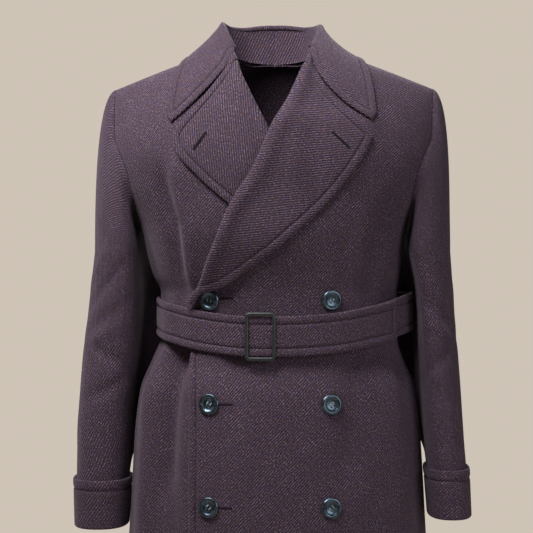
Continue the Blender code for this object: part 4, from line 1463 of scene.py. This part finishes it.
@dataclass
class Belt:
    """The belt in its two lengths: the buckle end, and the strap that lies over it."""

    finish: "WoolTwill"
    width: float = 0.056
    side_level: float = -0.3945
    front_dip: float = 0.0245
    lift_front: float = 0.0043
    rest: float = 0.0008
    easing: float = 0.0017
    stand_off: float = 0.0165
    left_rise: float = 0.0075
    strap_end: float = 62.0
    base_start: float = -2.2
    columns: int = 35
    column_crowding: float = 1.35
    lap_start: float = 50.0
    lap_end: float = 75.0
    side_degrees: float = 88.0
    side_breadth: float = 24.0
    climb: tuple[float, float] = (-24.0, -12.0)
    back_reach: float = 0.12
    strap_cut: Cut = Cut(0.73, 0.056, 0.0405, "stretched", ("front_left", "front_right", "back_right"))
    base_cut: Cut = Cut(0.58, 0.056, 0.0322, "stretched", ("front_left", "back_left"))

    def middle_level(self, angle: np.ndarray) -> np.ndarray:
        """Gives the height of the middle of the belt.

        Args:
            angle: radians round from centre front.

        Returns:
            Heights in metres.
        """
        rise = self.left_rise * np.maximum(np.sin(angle), 0) ** 6
        return self.side_level + rise - self.front_dip * np.maximum(np.cos(angle), 0) ** 2

    def lift(self, angle: np.ndarray) -> np.ndarray:
        """Gives how far the inner face stands off the coat.

        Args:
            angle: radians round from centre front.

        Returns:
            Lifts in metres.
        """
        degrees = np.degrees(angle)
        on_right = ease(degrees, -self.lap_end, -self.lap_start)
        on_front = on_right * (1 - ease(degrees, self.lap_start, self.lap_end))
        off_side = np.exp(-(((degrees - self.side_degrees) / self.side_breadth) ** 2))
        return self.easing + self.rest + (self.lift_front - self.rest) * on_front + self.stand_off * off_side

    def strap_raise(self, angle: np.ndarray) -> np.ndarray:
        """Gives how far the strap climbs on to the other length.

        Args:
            angle: radians round from centre front.

        Returns:
            Heights in metres.
        """
        return (FORM.double_cloth + FORM.lie_gap) * ease(np.degrees(angle), *self.climb)

    def frame_at(self, angle: np.ndarray) -> tuple[np.ndarray, np.ndarray]:
        """Gives the coat's points under the belt and their level outward directions.

        Args:
            angle: radians round from centre front.

        Returns:
            Points and directions.
        """
        level = self.side_level + 0 * angle
        way = FORM.outward(angle, level)
        way[..., 2] = 0.0
        return FORM.torso(angle, level), unit(way)

    def length(
        self, name: str, start: float, end: float, strap: bool, count: int, cut: Cut
    ) -> None:
        """Builds one length of the belt.

        Args:
            name: name of the solid.
            start: first angle in degrees.
            end: last angle in degrees.
            strap: whether it is the strap, which lies over the other length.
            count: points along it.
            cut: its flat cut.
        """
        angle = np.radians(np.linspace(start, end, count))[:, None]
        even = np.linspace(-1, 1, self.columns)
        crowded = np.sign(even) * (1 - (1 - np.abs(even)) ** self.column_crowding)
        across = (crowded * -0.5 * self.width)[None, :]
        base, way = self.frame_at(angle)
        lift = self.lift(angle) + FORM.double_cloth / 2
        if strap:
            lift = lift + self.strap_raise(angle)
        middle = np.repeat(base + way * lift[..., None], self.columns, axis=1)
        middle[..., 2] = self.middle_level(angle) + across
        run = np.repeat(arc(middle, 0)[:, [self.columns // 2]], self.columns, axis=1)
        edge = np.minimum(self.width / 2 - np.abs(across), run[-1, 0] - run if strap else np.ones_like(run))
        half = rounded_half(FORM.double_cloth, edge)[..., None]
        outer = middle + way * (half + sewn_swell(edge)[..., None])
        wall = Wall(outer, middle - way * half, run, across, edge, run)
        ClothPiece(self.finish).sew(name, wall, Grain.BELT, cut)

    def build(self) -> None:
        """Builds both lengths."""
        half_gap = math.degrees(FORM.seam_gap / 2 / self.back_reach)
        self.length("belt_base", self.base_start, 180 - half_gap, False, 260, self.base_cut)
        self.length("belt_strap", -180 + half_gap, self.strap_end, True, 340, self.strap_cut)


def swept(
    path: np.ndarray, side: np.ndarray, front: np.ndarray, half_side: float, half_front: float, closed: bool
) -> tuple[np.ndarray, list]:
    """Sweeps a rounded section along a path.

    Args:
        path: points in order.
        side: direction across the bar at each point.
        front: direction out of the bar's face at each point.
        half_side: half of the bar's breadth.
        half_front: half of its thickness.
        closed: whether the path closes on itself.

    Returns:
        Points and faces.
    """
    count, sides = len(path), SECTION_SIDES
    turn = np.linspace(0, 2 * math.pi, sides, endpoint=False)
    square = np.stack([np.cos(turn), np.sin(turn)], -1)
    square = np.sign(square) * np.abs(square) ** SECTION_POWER
    points = path[:, None] + side[:, None] * (half_side * square[None, :, :1])
    points = points + front[:, None] * (half_front * square[None, :, 1:])
    faces = []
    for step in range(count if closed else count - 1):
        near, far = step * sides, (step + 1) % count * sides
        for corner in range(sides):
            beside = (corner + 1) % sides
            faces.append((near + corner, near + beside, far + beside, far + corner))
    if not closed:
        faces.append(tuple(range(sides))[::-1])
        faces.append(tuple(range((count - 1) * sides, count * sides)))
    return points.reshape(-1, 3), faces


def hard_piece(name: str, points: np.ndarray, faces: list, look: bpy.types.Material) -> bpy.types.Object:
    """Makes one smooth piece that is not cloth.

    Args:
        name: its name.
        points: its points.
        faces: its faces.
        look: its material.

    Returns:
        The made object.
    """
    mesh = bpy.data.meshes.new(name)
    mesh.from_pydata(np.asarray(points).tolist(), [], [tuple(map(int, face)) for face in faces])
    mesh.validate()
    made = placed(name, mesh, look, HARD_SHARP)
    LOG.info("%s: %d points", name, len(mesh.vertices))
    return made


@dataclass
class Buckle:
    """The covered frame of the belt's buckle, with the centre bar behind the strap."""

    belt: Belt
    finish: "Covered"
    across: float = -0.013
    width: float = 0.043
    height: float = 0.067
    bar: float = 0.0052
    depth: float = 0.0032
    corner: float = 0.0062

    def build(self) -> None:
        """Builds the frame and its bar as one piece."""
        angle = FORM.angle_at(np.array(self.across), np.array(self.belt.side_level))
        middle, way = self.belt.frame_at(np.atleast_1d(angle))
        middle, way = middle[0].copy(), way[0]
        over = np.array([-way[1], way[0], 0.0])
        up = np.array([0.0, 0.0, 1.0])
        bar_lift = float(self.belt.lift(angle))
        face_lift = bar_lift + 2 * FORM.double_cloth + FORM.lie_gap - 0.0001
        middle[2] = float(self.belt.middle_level(angle))
        half = (self.width / 2 - self.bar / 2, self.height / 2 - self.bar / 2)
        radius = self.corner - self.bar / 2 + 0.001
        outline, outs = [], []
        for corner in range(4):
            sign_x = 1 if corner in (0, 3) else -1
            sign_z = 1 if corner in (0, 1) else -1
            for turn in np.radians(90 * corner + np.linspace(0, 90, 9)):
                out = np.array([math.cos(turn), math.sin(turn)])
                place_x, place_z = sign_x * (half[0] - radius), sign_z * (half[1] - radius)
                outline.append((place_x + radius * out[0], place_z + radius * out[1]))
                outs.append(out)
        outline, outs = np.array(outline), np.array(outs)
        path = middle + outline[:, :1] * over + outline[:, 1:] * up + way * (face_lift + self.depth / 2)
        side = outs[:, :1] * over + outs[:, 1:] * up
        front = np.repeat(way[None], len(path), 0)
        points, faces = swept(path, side, front, self.bar / 2, self.depth / 2, True)
        reach = self.height / 2 - self.bar / 2 + 0.0004
        low, high = bar_lift + 0.0020, face_lift + 0.0010
        route = [(-reach, high), (-reach, low + 0.001), (-reach + 0.002, low)]
        route += [(-z, lift) for z, lift in reversed(route)]
        bar = np.array([middle + up * z + way * lift for z, lift in route])
        along_bar = unit(np.gradient(bar, axis=0))
        bar_side = np.repeat(over[None], len(bar), 0)
        bar_front = unit(np.cross(along_bar, bar_side))
        more, more_faces = swept(bar, bar_side, bar_front, 0.0022, 0.0014, False)
        shift = len(points)
        faces += [tuple(index + shift for index in face) for face in more_faces]
        made = hard_piece("buckle_frame", np.concatenate([points, more]), faces, self.finish.material())
        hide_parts("buckle")


@dataclass
class Buttons:
    """The six horn buttons with four holes each, and the thread that holds them."""

    finish: "Horn"
    thread: "Thread"
    radius: float = 0.0145
    column: float = 0.0835
    seat: float = 0.0002
    levels: tuple[float, ...] = (-0.3690, -0.5130, -0.6540)
    hole_radius: float = 0.00125
    hole_place: float = 0.0026
    hole_depth: float = 0.0016
    segments: int = 80
    thread_top: float = 0.0026
    thread_sink: float = 0.0016
    profile: tuple[Turning, ...] = (
        Turning(0.00, 0.0018),
        Turning(0.22, 0.0019),
        Turning(0.42, 0.0023),
        Turning(0.56, 0.0028),
        Turning(0.68, 0.0038),
        Turning(0.80, 0.0044),
        Turning(0.90, 0.0041),
        Turning(1.00, 0.0026),
    )

    def seat_of(self, across: float, height: float) -> tuple[np.ndarray, np.ndarray, np.ndarray, np.ndarray]:
        """Gives the place of a button on the over front.

        Args:
            across: distance over from the centre.
            height: height in the front view.

        Returns:
            The foot of its middle, and its directions over, up and out.
        """
        girth = FORM.girth_at(np.array(across), np.array(height))
        angle = FORM.angle_at(np.array(across), girth)
        lift = FORM.overlap_lift(np.array(across), np.array(height))
        way = FORM.outward(angle, girth)
        over = unit(np.cross(np.array([0.0, 0.0, 1.0]), way))
        return FORM.lifted(angle, girth, lift + self.seat), over, np.cross(way, over), way

    def holes(self) -> list[tuple[float, float]]:
        """Gives the middles of the four holes.

        Returns:
            Places over and up.
        """
        return [(x * self.hole_place, z * self.hole_place) for x in (-1, 1) for z in (-1, 1)]

    def button(self, name: str, across: float, height: float, turned: float) -> None:
        """Builds one button and its thread.

        Args:
            name: name of the solid.
            across: distance over from the centre.
            height: height in the front view.
            turned: how far the holes are turned, in degrees.
        """
        foot, over, up, way = self.seat_of(across, height)
        spin = math.radians(turned)
        over, up = over * math.cos(spin) + up * math.sin(spin), up * math.cos(spin) - over * math.sin(spin)
        segments = self.segments
        turn = np.linspace(0, 2 * math.pi, segments, endpoint=False)
        share = np.concatenate([np.linspace(0.02, 0.5, 32), np.linspace(0.5, 1.0, 26)[1:]])
        x = self.radius * share[:, None] * np.cos(turn)[None]
        z = self.radius * share[:, None] * np.sin(turn)[None]
        rise = along(self.profile, "radius", share, "height")[:, None] + 0 * x
        for hole_x, hole_z in self.holes():
            apart = np.hypot(x - hole_x, z - hole_z)
            inside = 1 - ease(apart, 0.75 * self.hole_radius, 1.1 * self.hole_radius)
            rise = rise - self.hole_depth * inside
        under = ((1.0, 0.0018), (0.95, 0.0012), (0.75, 0.0005), (0.55, 0.0000))
        rings = list(foot + x[..., None] * over + z[..., None] * up + rise[..., None] * way)
        for ring_share, ring_rise in under:
            spoke = np.cos(turn)[:, None] * over + np.sin(turn)[:, None] * up
            rings.append(foot + spoke * self.radius * ring_share + way * ring_rise)
        points = np.concatenate(rings)
        faces = [tuple(range(segments))]
        for ring in range(len(rings) - 1):
            for step in range(segments):
                beside = (step + 1) % segments
                a, b = ring * segments + step, ring * segments + beside
                faces.append((a, a + segments, b + segments, b))
        last = (len(rings) - 1) * segments
        faces.append(tuple(range(last, last + segments))[::-1])
        made = hard_piece(name + "_turned", points, faces, self.finish.material())
        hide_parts(name)
        self.sewn(name, foot, over, up, way)

    def sewn(
        self, name: str, foot: np.ndarray, over: np.ndarray, up: np.ndarray, way: np.ndarray
    ) -> None:
        """Builds the two bars of thread over the holes of a button.

        Args:
            name: name of the button.
            foot: foot of its middle.
            over: direction over.
            up: direction up.
            way: direction out.
        """
        points, faces = np.zeros((0, 3)), []
        share = np.linspace(-1, 1, 11)
        for place in (-1, 1):
            rise = self.thread_top - self.thread_sink * np.abs(share) ** 3
            path = foot + share[:, None] * self.hole_place * up
            path = path + place * self.hole_place * over + rise[:, None] * way
            front = unit(np.cross(over, unit(np.gradient(path, axis=0))))
            more, more_faces = swept(path, np.repeat(over[None], 11, 0), front, 0.0008, 0.0004, False)
            faces += [tuple(index + len(points) for index in face) for face in more_faces]
            points = np.concatenate([points, more])
        made = hard_piece(name + "_thread", points, faces, self.thread.material())

    def build(self) -> None:
        """Builds the two columns of buttons."""
        for row, height in enumerate(self.levels, start=1):
            self.button("button_left_%d" % row, self.column, height, 12.0 * row)
            self.button("button_right_%d" % row, -self.column, height, -17.0 * row + 8)


class Slit(NamedTuple):
    """One worked buttonhole seen from the front: its two ends, and how far off the base form it lies."""

    name: str
    start_x: float
    start_z: float
    end_x: float
    end_z: float
    lift: float
    over_front: bool


@dataclass
class Buttonholes:
    """The worked buttonholes of the lapels and of the front edge, each with a near-black patch of painted
    shade in its slit.
    """

    thread: "Thread"
    # Near-black finish painted into each slit as the shade of the opening.
    shade: "Thread"
    breadth: float = 0.0010
    welt: float = 0.0004
    slits: tuple[Slit, ...] = (
        Slit("lapel_hole_right", -0.1055, -0.1590, -0.0885, -0.1375, 0.0064, False),
        Slit("lapel_hole_left", 0.0840, -0.1385, 0.1060, -0.1585, 0.0062, True),
        Slit("front_hole_1", -0.0690, -0.3660, -0.0525, -0.3660, 0.0003, True),
        Slit("front_hole_2", -0.0690, -0.5130, -0.0525, -0.5130, 0.0003, True),
        Slit("front_hole_3", -0.0690, -0.6540, -0.0525, -0.6540, 0.0003, True),
    )

    def hole(self, slit: Slit) -> None:
        """Builds the stitched welt round one buttonhole, and fills its slit with a flat near-black patch of
        painted shade.

        Args:
            slit: the buttonhole.
        """
        start, end = np.array([slit.start_x, slit.start_z]), np.array([slit.end_x, slit.end_z])
        way = unit(end - start)
        beside = np.array([-way[1], way[0]])
        outline = []
        for near, far, first, hand in ((end, start, -90, 1), (start, end, 90, -1)):
            for turn in np.radians(np.linspace(first, first + 180, 9)):
                outline.append(near + self.breadth * (math.cos(turn) * way + math.sin(turn) * beside))
            for share in np.linspace(0, 1, 10)[1:-1]:
                outline.append(near + (far - near) * share + hand * self.breadth * beside)
        flat = np.array(outline)
        girth = FORM.girth_at(flat[:, 0], flat[:, 1])
        angle = FORM.angle_at(flat[:, 0], girth)
        lift = slit.lift + (FORM.overlap_lift(flat[:, 0], flat[:, 1]) if slit.over_front else 0)
        path, out = FORM.lifted(angle, girth, lift), FORM.outward(angle, girth)
        forward = unit(np.roll(path, -1, 0) - np.roll(path, 1, 0))
        points, faces = swept(path, unit(np.cross(forward, out)), out, self.breadth * 0.42, self.welt, True)
        made = hard_piece(slit.name, points, faces, self.thread.material())
        # Flat patch inside the welt, dressed near-black as painted shade of the open slit.
        inner = path + (path.mean(0) - path) * 0.02 + out * 0.25 * self.welt
        cut = hard_piece(slit.name + "_slit", inner, [tuple(range(len(path)))], self.shade.material())

    def build(self) -> None:
        """Builds every buttonhole."""
        for slit in self.slits:
            self.hole(slit)


class NodeBoard:
    """Short ways of adding and joining the nodes of a material."""

    def __init__(self, name: str) -> None:
        """Makes an empty node material with its shader.

        Args:
            name: name of the material.
        """
        self.look = bpy.data.materials.new(name)
        self.look.use_nodes = True
        self.tree = self.look.node_tree
        self.shader = self.tree.nodes["Principled BSDF"]

    def add(self, kind: str, **settings: object) -> bpy.types.Node:
        """Adds a node.

        Args:
            kind: type of the node.
            settings: its properties, or numbers for its named inputs.

        Returns:
            The node.
        """
        node = self.tree.nodes.new(kind)
        for key, value in settings.items():
            if hasattr(node, key):
                setattr(node, key, value)
            else:
                node.inputs[key.replace("_", " ")].default_value = value
        return node

    def feed(self, value: object, socket: bpy.types.NodeSocket) -> None:
        """Sets a socket to a number or joins it to another socket.

        Args:
            value: a number, a colour or an output socket.
            socket: the input.
        """
        if isinstance(value, bpy.types.NodeSocket):
            self.tree.links.new(value, socket)
        else:
            socket.default_value = value

    def sum_up(
        self, operation: str, first: object, second: object = 0.0, third: object = 0.0
    ) -> bpy.types.NodeSocket:
        """Adds a sum.

        Args:
            operation: name of the sum.
            first: first value.
            second: second value.
            third: third value.

        Returns:
            The result.
        """
        node = self.add("ShaderNodeMath", operation=operation)
        for value, socket in zip((first, second, third), node.inputs):
            self.feed(value, socket)
        return node.outputs[0]

    def soft_step(self, value: object, start: float, end: float) -> bpy.types.NodeSocket:
        """Adds a soft rise from 0 at start to 1 at end.

        Args:
            value: what rises.
            start: place of 0.
            end: place of 1.

        Returns:
            The share risen.
        """
        node = self.add("ShaderNodeMapRange", interpolation_type="SMOOTHSTEP")
        for given, socket in zip((value, start, end, 0.0, 1.0), node.inputs):
            self.feed(given, socket)
        return node.outputs[0]

    def blend(self, share: object, first: object, second: object) -> bpy.types.NodeSocket:
        """Blends two colours.

        Args:
            share: 0 gives the first, 1 the second.
            first: first colour.
            second: second colour.

        Returns:
            The colour.
        """
        node = self.add("ShaderNodeMix", data_type="RGBA")
        self.feed(share, node.inputs[0])
        self.feed(first, node.inputs[6])
        self.feed(second, node.inputs[7])
        return node.outputs[2]

    def noise(self, place: bpy.types.NodeSocket, **settings: object) -> bpy.types.NodeSocket:
        """Adds a cloudy pattern.

        Args:
            place: where it is read.
            settings: its properties, or numbers for its named inputs.

        Returns:
            The pattern's level.
        """
        node = self.add("ShaderNodeTexNoise", **settings)
        self.feed(place, node.inputs["Vector"])
        return node.outputs[0]

    def bump(self, height: bpy.types.NodeSocket, strength: float, distance: float) -> None:
        """Raises the shader's face by a height.

        Args:
            height: the height.
            strength: share of it that shows.
            distance: metres that a height of 1 stands for.
        """
        node = self.add("ShaderNodeBump", Strength=strength, Distance=distance)
        self.feed(height, node.inputs["Height"])
        self.dress(Normal=node.outputs[0])

    def dress(self, **inputs: object) -> None:
        """Feeds inputs of the shader.

        Args:
            inputs: what goes to each input, with a low line for each space of its name.
        """
        for key, value in inputs.items():
            self.feed(value, self.shader.inputs[key.replace("_", " ")])


@dataclass(frozen=True)
class Finish:
    """Base of every finish: makes its material once and keeps it under the finish's name."""

    name: str

    def material(self) -> bpy.types.Material:
        """Makes the material when it is first asked for.

        Returns:
            The material.
        """
        made = bpy.data.materials.get(self.name)
        if made is None:
            board = NodeBoard(self.name)
            self.lay(board)
            made = board.look
        return made

    def lay(self, board: NodeBoard) -> None:
        """Lays the nodes of the finish.

        Args:
            board: board of its material.
        """
        raise NotImplementedError


@dataclass(frozen=True)
class WoolTwill(Finish):
    """Heavy napped wool twill: dark aubergine ridges with pale flecks, and the groove of its sewn edges,
    darkened with painted shade.
    """

    name: str = "wool twill"
    pitch: float = 0.00325
    ridge_share: float = 0.38
    wander: float = 0.0023
    fleck_share: float = 0.62
    # Dark of the weave's troughs; the stitch groove's colour is also blended towards it as painted shade.
    trough: Colour = (0.016, 0.0095, 0.0145, 1.0)
    warm: Colour = (0.077, 0.045, 0.058, 1.0)
    cool: Colour = (0.064, 0.043, 0.074, 1.0)
    fleck: Colour = (0.225, 0.165, 0.235, 1.0)
    stitch_in: float = 0.0115
    stitch_breadth: float = 0.0017
    stitch_length: float = 0.0042
    stitch_depth: float = 0.0011
    stitch_shade: float = 0.50
    ridge_height: float = 0.00080
    fibre_height: float = 0.00026
    roughness: float = 0.90
    gloss: float = 0.18
    sheen: float = 0.12
    sheen_spread: float = 0.45
    sheen_tint: Colour = (0.80, 0.66, 0.78, 1.0)

    def lay(self, board: NodeBoard) -> None:
        """Lays the nodes of ridges, flecks and sewn edges, with painted shade in the stitch groove.

        Args:
            board: board of its material.
        """
        weave = board.add("ShaderNodeUVMap", uv_map="weave").outputs[0]
        wander = board.noise(weave, noise_dimensions="2D", Scale=60.0, Detail=2.0)
        parts = board.add("ShaderNodeSeparateXYZ")
        board.feed(weave, parts.inputs[0])
        shift = board.sum_up("MULTIPLY_ADD", wander, self.wander, parts.outputs[1])
        wave = board.sum_up("SINE", board.sum_up("MULTIPLY", shift, 2 * math.pi / self.pitch))
        wale = board.sum_up("MULTIPLY_ADD", wave, 0.5, 0.5)
        stretch = board.add("ShaderNodeCombineXYZ")
        board.feed(board.sum_up("MULTIPLY", parts.outputs[0], 0.62), stretch.inputs[0])
        board.feed(shift, stretch.inputs[1])
        yarn = board.noise(stretch.outputs[0], noise_dimensions="2D", Scale=560.0, Detail=3.0, Roughness=0.62)
        broad = board.noise(weave, noise_dimensions="2D", Scale=34.0, Detail=2.0)
        fibre = board.soft_step(yarn, 0.26, 0.76)
        ridges = board.sum_up("MULTIPLY", wale, self.ridge_share)
        raised = board.sum_up("MULTIPLY_ADD", fibre, 1.0 - self.ridge_share, ridges)
        tint = board.noise(weave, noise_dimensions="2D", Scale=125.0, Detail=1.0)
        ridge = board.blend(board.soft_step(tint, 0.36, 0.64), self.warm, self.cool)
        body = board.blend(board.soft_step(raised, 0.08, 0.92), self.trough, ridge)
        flecked = board.sum_up("ADD", raised, board.sum_up("MULTIPLY_ADD", broad, 0.30, -0.15))
        flecks = board.sum_up("MULTIPLY", board.soft_step(flecked, 0.64, 1.04), self.fleck_share)
        colour = board.blend(flecks, body, self.fleck)
        edge = board.add("ShaderNodeAttribute", attribute_name="edge").outputs["Fac"]
        run = board.add("ShaderNodeAttribute", attribute_name="run").outputs["Fac"]
        off = board.sum_up("ABSOLUTE", board.sum_up("SUBTRACT", edge, self.stitch_in))
        groove = board.sum_up("SUBTRACT", 1.0, board.soft_step(off, 0.0002, self.stitch_breadth))
        dash = board.sum_up("SINE", board.sum_up("MULTIPLY", run, 2 * math.pi / self.stitch_length))
        pull = board.sum_up("MULTIPLY", groove, board.sum_up("MULTIPLY_ADD", dash, 0.22, 0.78))
        # Painted shade: the colour is blended towards the trough colour along the stitch groove.
        groove_shaded_colour = board.blend(board.sum_up("MULTIPLY", pull, self.stitch_shade), colour, self.trough)
        ribs = board.sum_up("MULTIPLY", ridges, self.ridge_height)
        nap = board.sum_up("MULTIPLY_ADD", fibre, self.fibre_height, ribs)
        nap = board.sum_up("MULTIPLY_ADD", pull, -self.stitch_depth, nap)
        board.bump(nap, 1.0, 1.0)
        board.dress(Base_Color=groove_shaded_colour, Roughness=self.roughness, Specular_IOR_Level=self.gloss)
        board.dress(Sheen_Weight=self.sheen, Sheen_Roughness=self.sheen_spread, Sheen_Tint=self.sheen_tint)


@dataclass(frozen=True)
class Clouded(Finish):
    """A dark finish with paler clouds, plain or slightly raised."""

    dark: Colour
    pale: Colour
    scale: float
    detail: float = 3.0
    distortion: float = 0.0
    cloud_start: float = 0.45
    cloud_end: float = 0.75
    raised: float = 0.0
    raised_height: float = 0.0004
    roughness: float = 0.40
    gloss: float = 0.5
    glint: Colour = (1.0, 1.0, 1.0, 1.0)

    def lay(self, board: NodeBoard) -> None:
        """Lays the finish's nodes.

        Args:
            board: board of its material.
        """
        place = board.add("ShaderNodeTexCoord").outputs["Object"]
        cloud = board.noise(place, Scale=self.scale, Detail=self.detail, Distortion=self.distortion)
        share = board.soft_step(cloud, self.cloud_start, self.cloud_end)
        if self.raised > 0:
            board.bump(cloud, self.raised, self.raised_height)
        board.dress(Base_Color=board.blend(share, self.dark, self.pale), Roughness=self.roughness)
        board.dress(Specular_IOR_Level=self.gloss, Specular_Tint=self.glint)


@dataclass(frozen=True)
class Horn(Clouded):
    """Polished dark horn with pale blue-grey clouds, partly the horn's own streaks and partly painted sheen.
    """

    name: str = "dark horn"
    dark: Colour = (0.0045, 0.0052, 0.0066, 1.0)
    # Pale blue-grey clouds: partly the horn's own streaks, partly painted blue sheen.
    pale: Colour = (0.042, 0.060, 0.074, 1.0)
    scale: float = 110.0
    distortion: float = 1.5
    cloud_start: float = 0.42
    roughness: float = 0.30
    gloss: float = 1.0
    glint: Colour = (0.55, 0.78, 1.0, 1.0)


@dataclass(frozen=True)
class Covered(Clouded):
    """Dark semi-gloss cover of the buckle."""

    name: str = "buckle cover"
    dark: Colour = (0.012, 0.014, 0.014, 1.0)
    pale: Colour = (0.030, 0.036, 0.036, 1.0)
    scale: float = 700.0
    raised: float = 0.35


@dataclass(frozen=True)
class Thread(Clouded):
    """Sewing thread with a fine twist; the same finish also gives the near-black painted shade in the
    buttonhole slits.
    """

    scale: float = 900.0
    detail: float = 2.0
    cloud_start: float = 0.35
    cloud_end: float = 0.70
    raised: float = 0.6
    roughness: float = 0.9
    gloss: float = 0.06


@dataclass
class Studio:
    """Plain floor, soft light and the camera at the photo's angle."""

    distance: float = 2.2
    metres_a_pixel: float = 1.48e-3
    pixels: int = 533
    azimuth: float = 2.0
    target: Place = (-0.01036, 0.0, -0.322)
    sensor: float = 36.0
    aim: Place = (0.0, 0.0, -0.28)
    floor_level: float = -1.40
    backdrop: Colour = (0.62, 0.55, 0.47, 1.0)
    room: Colour = (0.045, 0.043, 0.043, 1.0)

    def camera(self) -> None:
        """Places the camera."""
        lens = bpy.data.cameras.new("camera")
        lens.sensor_width = self.sensor
        lens.lens = self.sensor * self.distance / (self.pixels * self.metres_a_pixel)
        lens.clip_end = 60.0
        holder = bpy.data.objects.new("camera", lens)
        turn = math.radians(self.azimuth)
        away = Vector((math.sin(turn), -math.cos(turn), 0.0))
        holder.location = Vector(self.target) + away * self.distance
        holder.rotation_euler = (-away).to_track_quat("-Z", "Y").to_euler()
        bpy.context.collection.objects.link(holder)
        bpy.context.scene.camera = holder

    def lamp(self, name: str, place: Place, size: float, power: float, colour: Place) -> None:
        """Places one soft lamp that looks at the coat.

        Args:
            name: its name.
            place: where it stands.
            size: its breadth.
            power: its power in watts.
            colour: its colour.
        """
        light = bpy.data.lights.new(name, "AREA")
        light.shape = "DISK"
        light.size = size
        light.energy = power
        light.color = colour
        holder = bpy.data.objects.new(name, light)
        holder.location = place
        way = Vector(self.aim) - Vector(place)
        holder.rotation_euler = way.to_track_quat("-Z", "Y").to_euler()
        bpy.context.collection.objects.link(holder)

    def floor(self) -> None:
        """Lays the floor."""
        mesh = bpy.data.meshes.new("floor")
        plan = ((-4, -3.2), (4, -3.2), (4, 1.6), (-4, 1.6))
        corners = [(x, y, self.floor_level) for x, y in plan]
        mesh.from_pydata(corners, [], [(0, 1, 2, 3)])
        board = NodeBoard("floor")
        board.dress(Base_Color=self.backdrop, Roughness=0.9)
        mesh.materials.append(board.look)
        made = bpy.data.objects.new("floor", mesh)
        bpy.context.collection.objects.link(made)

    def surround(self) -> None:
        """Makes the surround: a pale wall on every side that itself gives little light."""
        world = bpy.data.worlds.new("studio")
        world.use_nodes = True
        nodes, links = world.node_tree.nodes, world.node_tree.links
        seen = nodes.new("ShaderNodeLightPath")
        mix = nodes.new("ShaderNodeMix")
        mix.data_type = "RGBA"
        mix.inputs[6].default_value = self.room
        mix.inputs[7].default_value = self.backdrop
        links.new(seen.outputs["Is Camera Ray"], mix.inputs[0])
        links.new(mix.outputs[2], nodes["Background"].inputs[0])
        bpy.context.scene.world = world

    def build(self) -> None:
        """Sets up the whole studio."""
        self.camera()
        self.floor()
        self.surround()
        self.lamp("key", (-0.4, -0.8, 0.9), 0.6, 31.0, (1.0, 0.99, 1.0))
        self.lamp("side", (-1.0, -0.5, 1.1), 0.7, 25.0, (1.0, 0.99, 1.0))
        self.lamp("fill", (1.6, -1.6, 0.1), 1.2, 21.0, (0.97, 0.98, 1.0))
        self.lamp("back", (0.0, 2.0, 1.1), 1.4, 40.0, (1.0, 0.99, 0.97))
        bpy.context.scene.view_settings.view_transform = "Standard"


def main() -> None:
    """Builds every piece in order, then the studio."""
    logging.basicConfig(level=logging.INFO, format="%(message)s")
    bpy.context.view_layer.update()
    wool = WoolTwill()
    facing = WoolTwill(name="wool twill facing", ridge_share=0.48, wander=0.0017, fleck_share=0.50)
    thread = Thread("thread", (0.010, 0.007, 0.009, 1.0), (0.034, 0.024, 0.031, 1.0))
    pale_thread = Thread("pale thread", (0.10, 0.12, 0.12, 1.0), (0.32, 0.36, 0.36, 1.0))
    # Near-black painted shade for the buttonhole slits.
    shade = Thread("slit", (0.006, 0.004, 0.006, 1.0), (0.014, 0.010, 0.013, 1.0))
    Body(wool).build()
    Lapels(facing).build()
    Collar(facing).build()
    Sleeves(wool).build()
    belt = Belt(wool)
    belt.build()
    Buckle(belt, Covered()).build()
    Buttons(Horn(), pale_thread).build()
    Buttonholes(thread, shade).build()
    Studio().build()


if __name__ == "__main__":
    main()
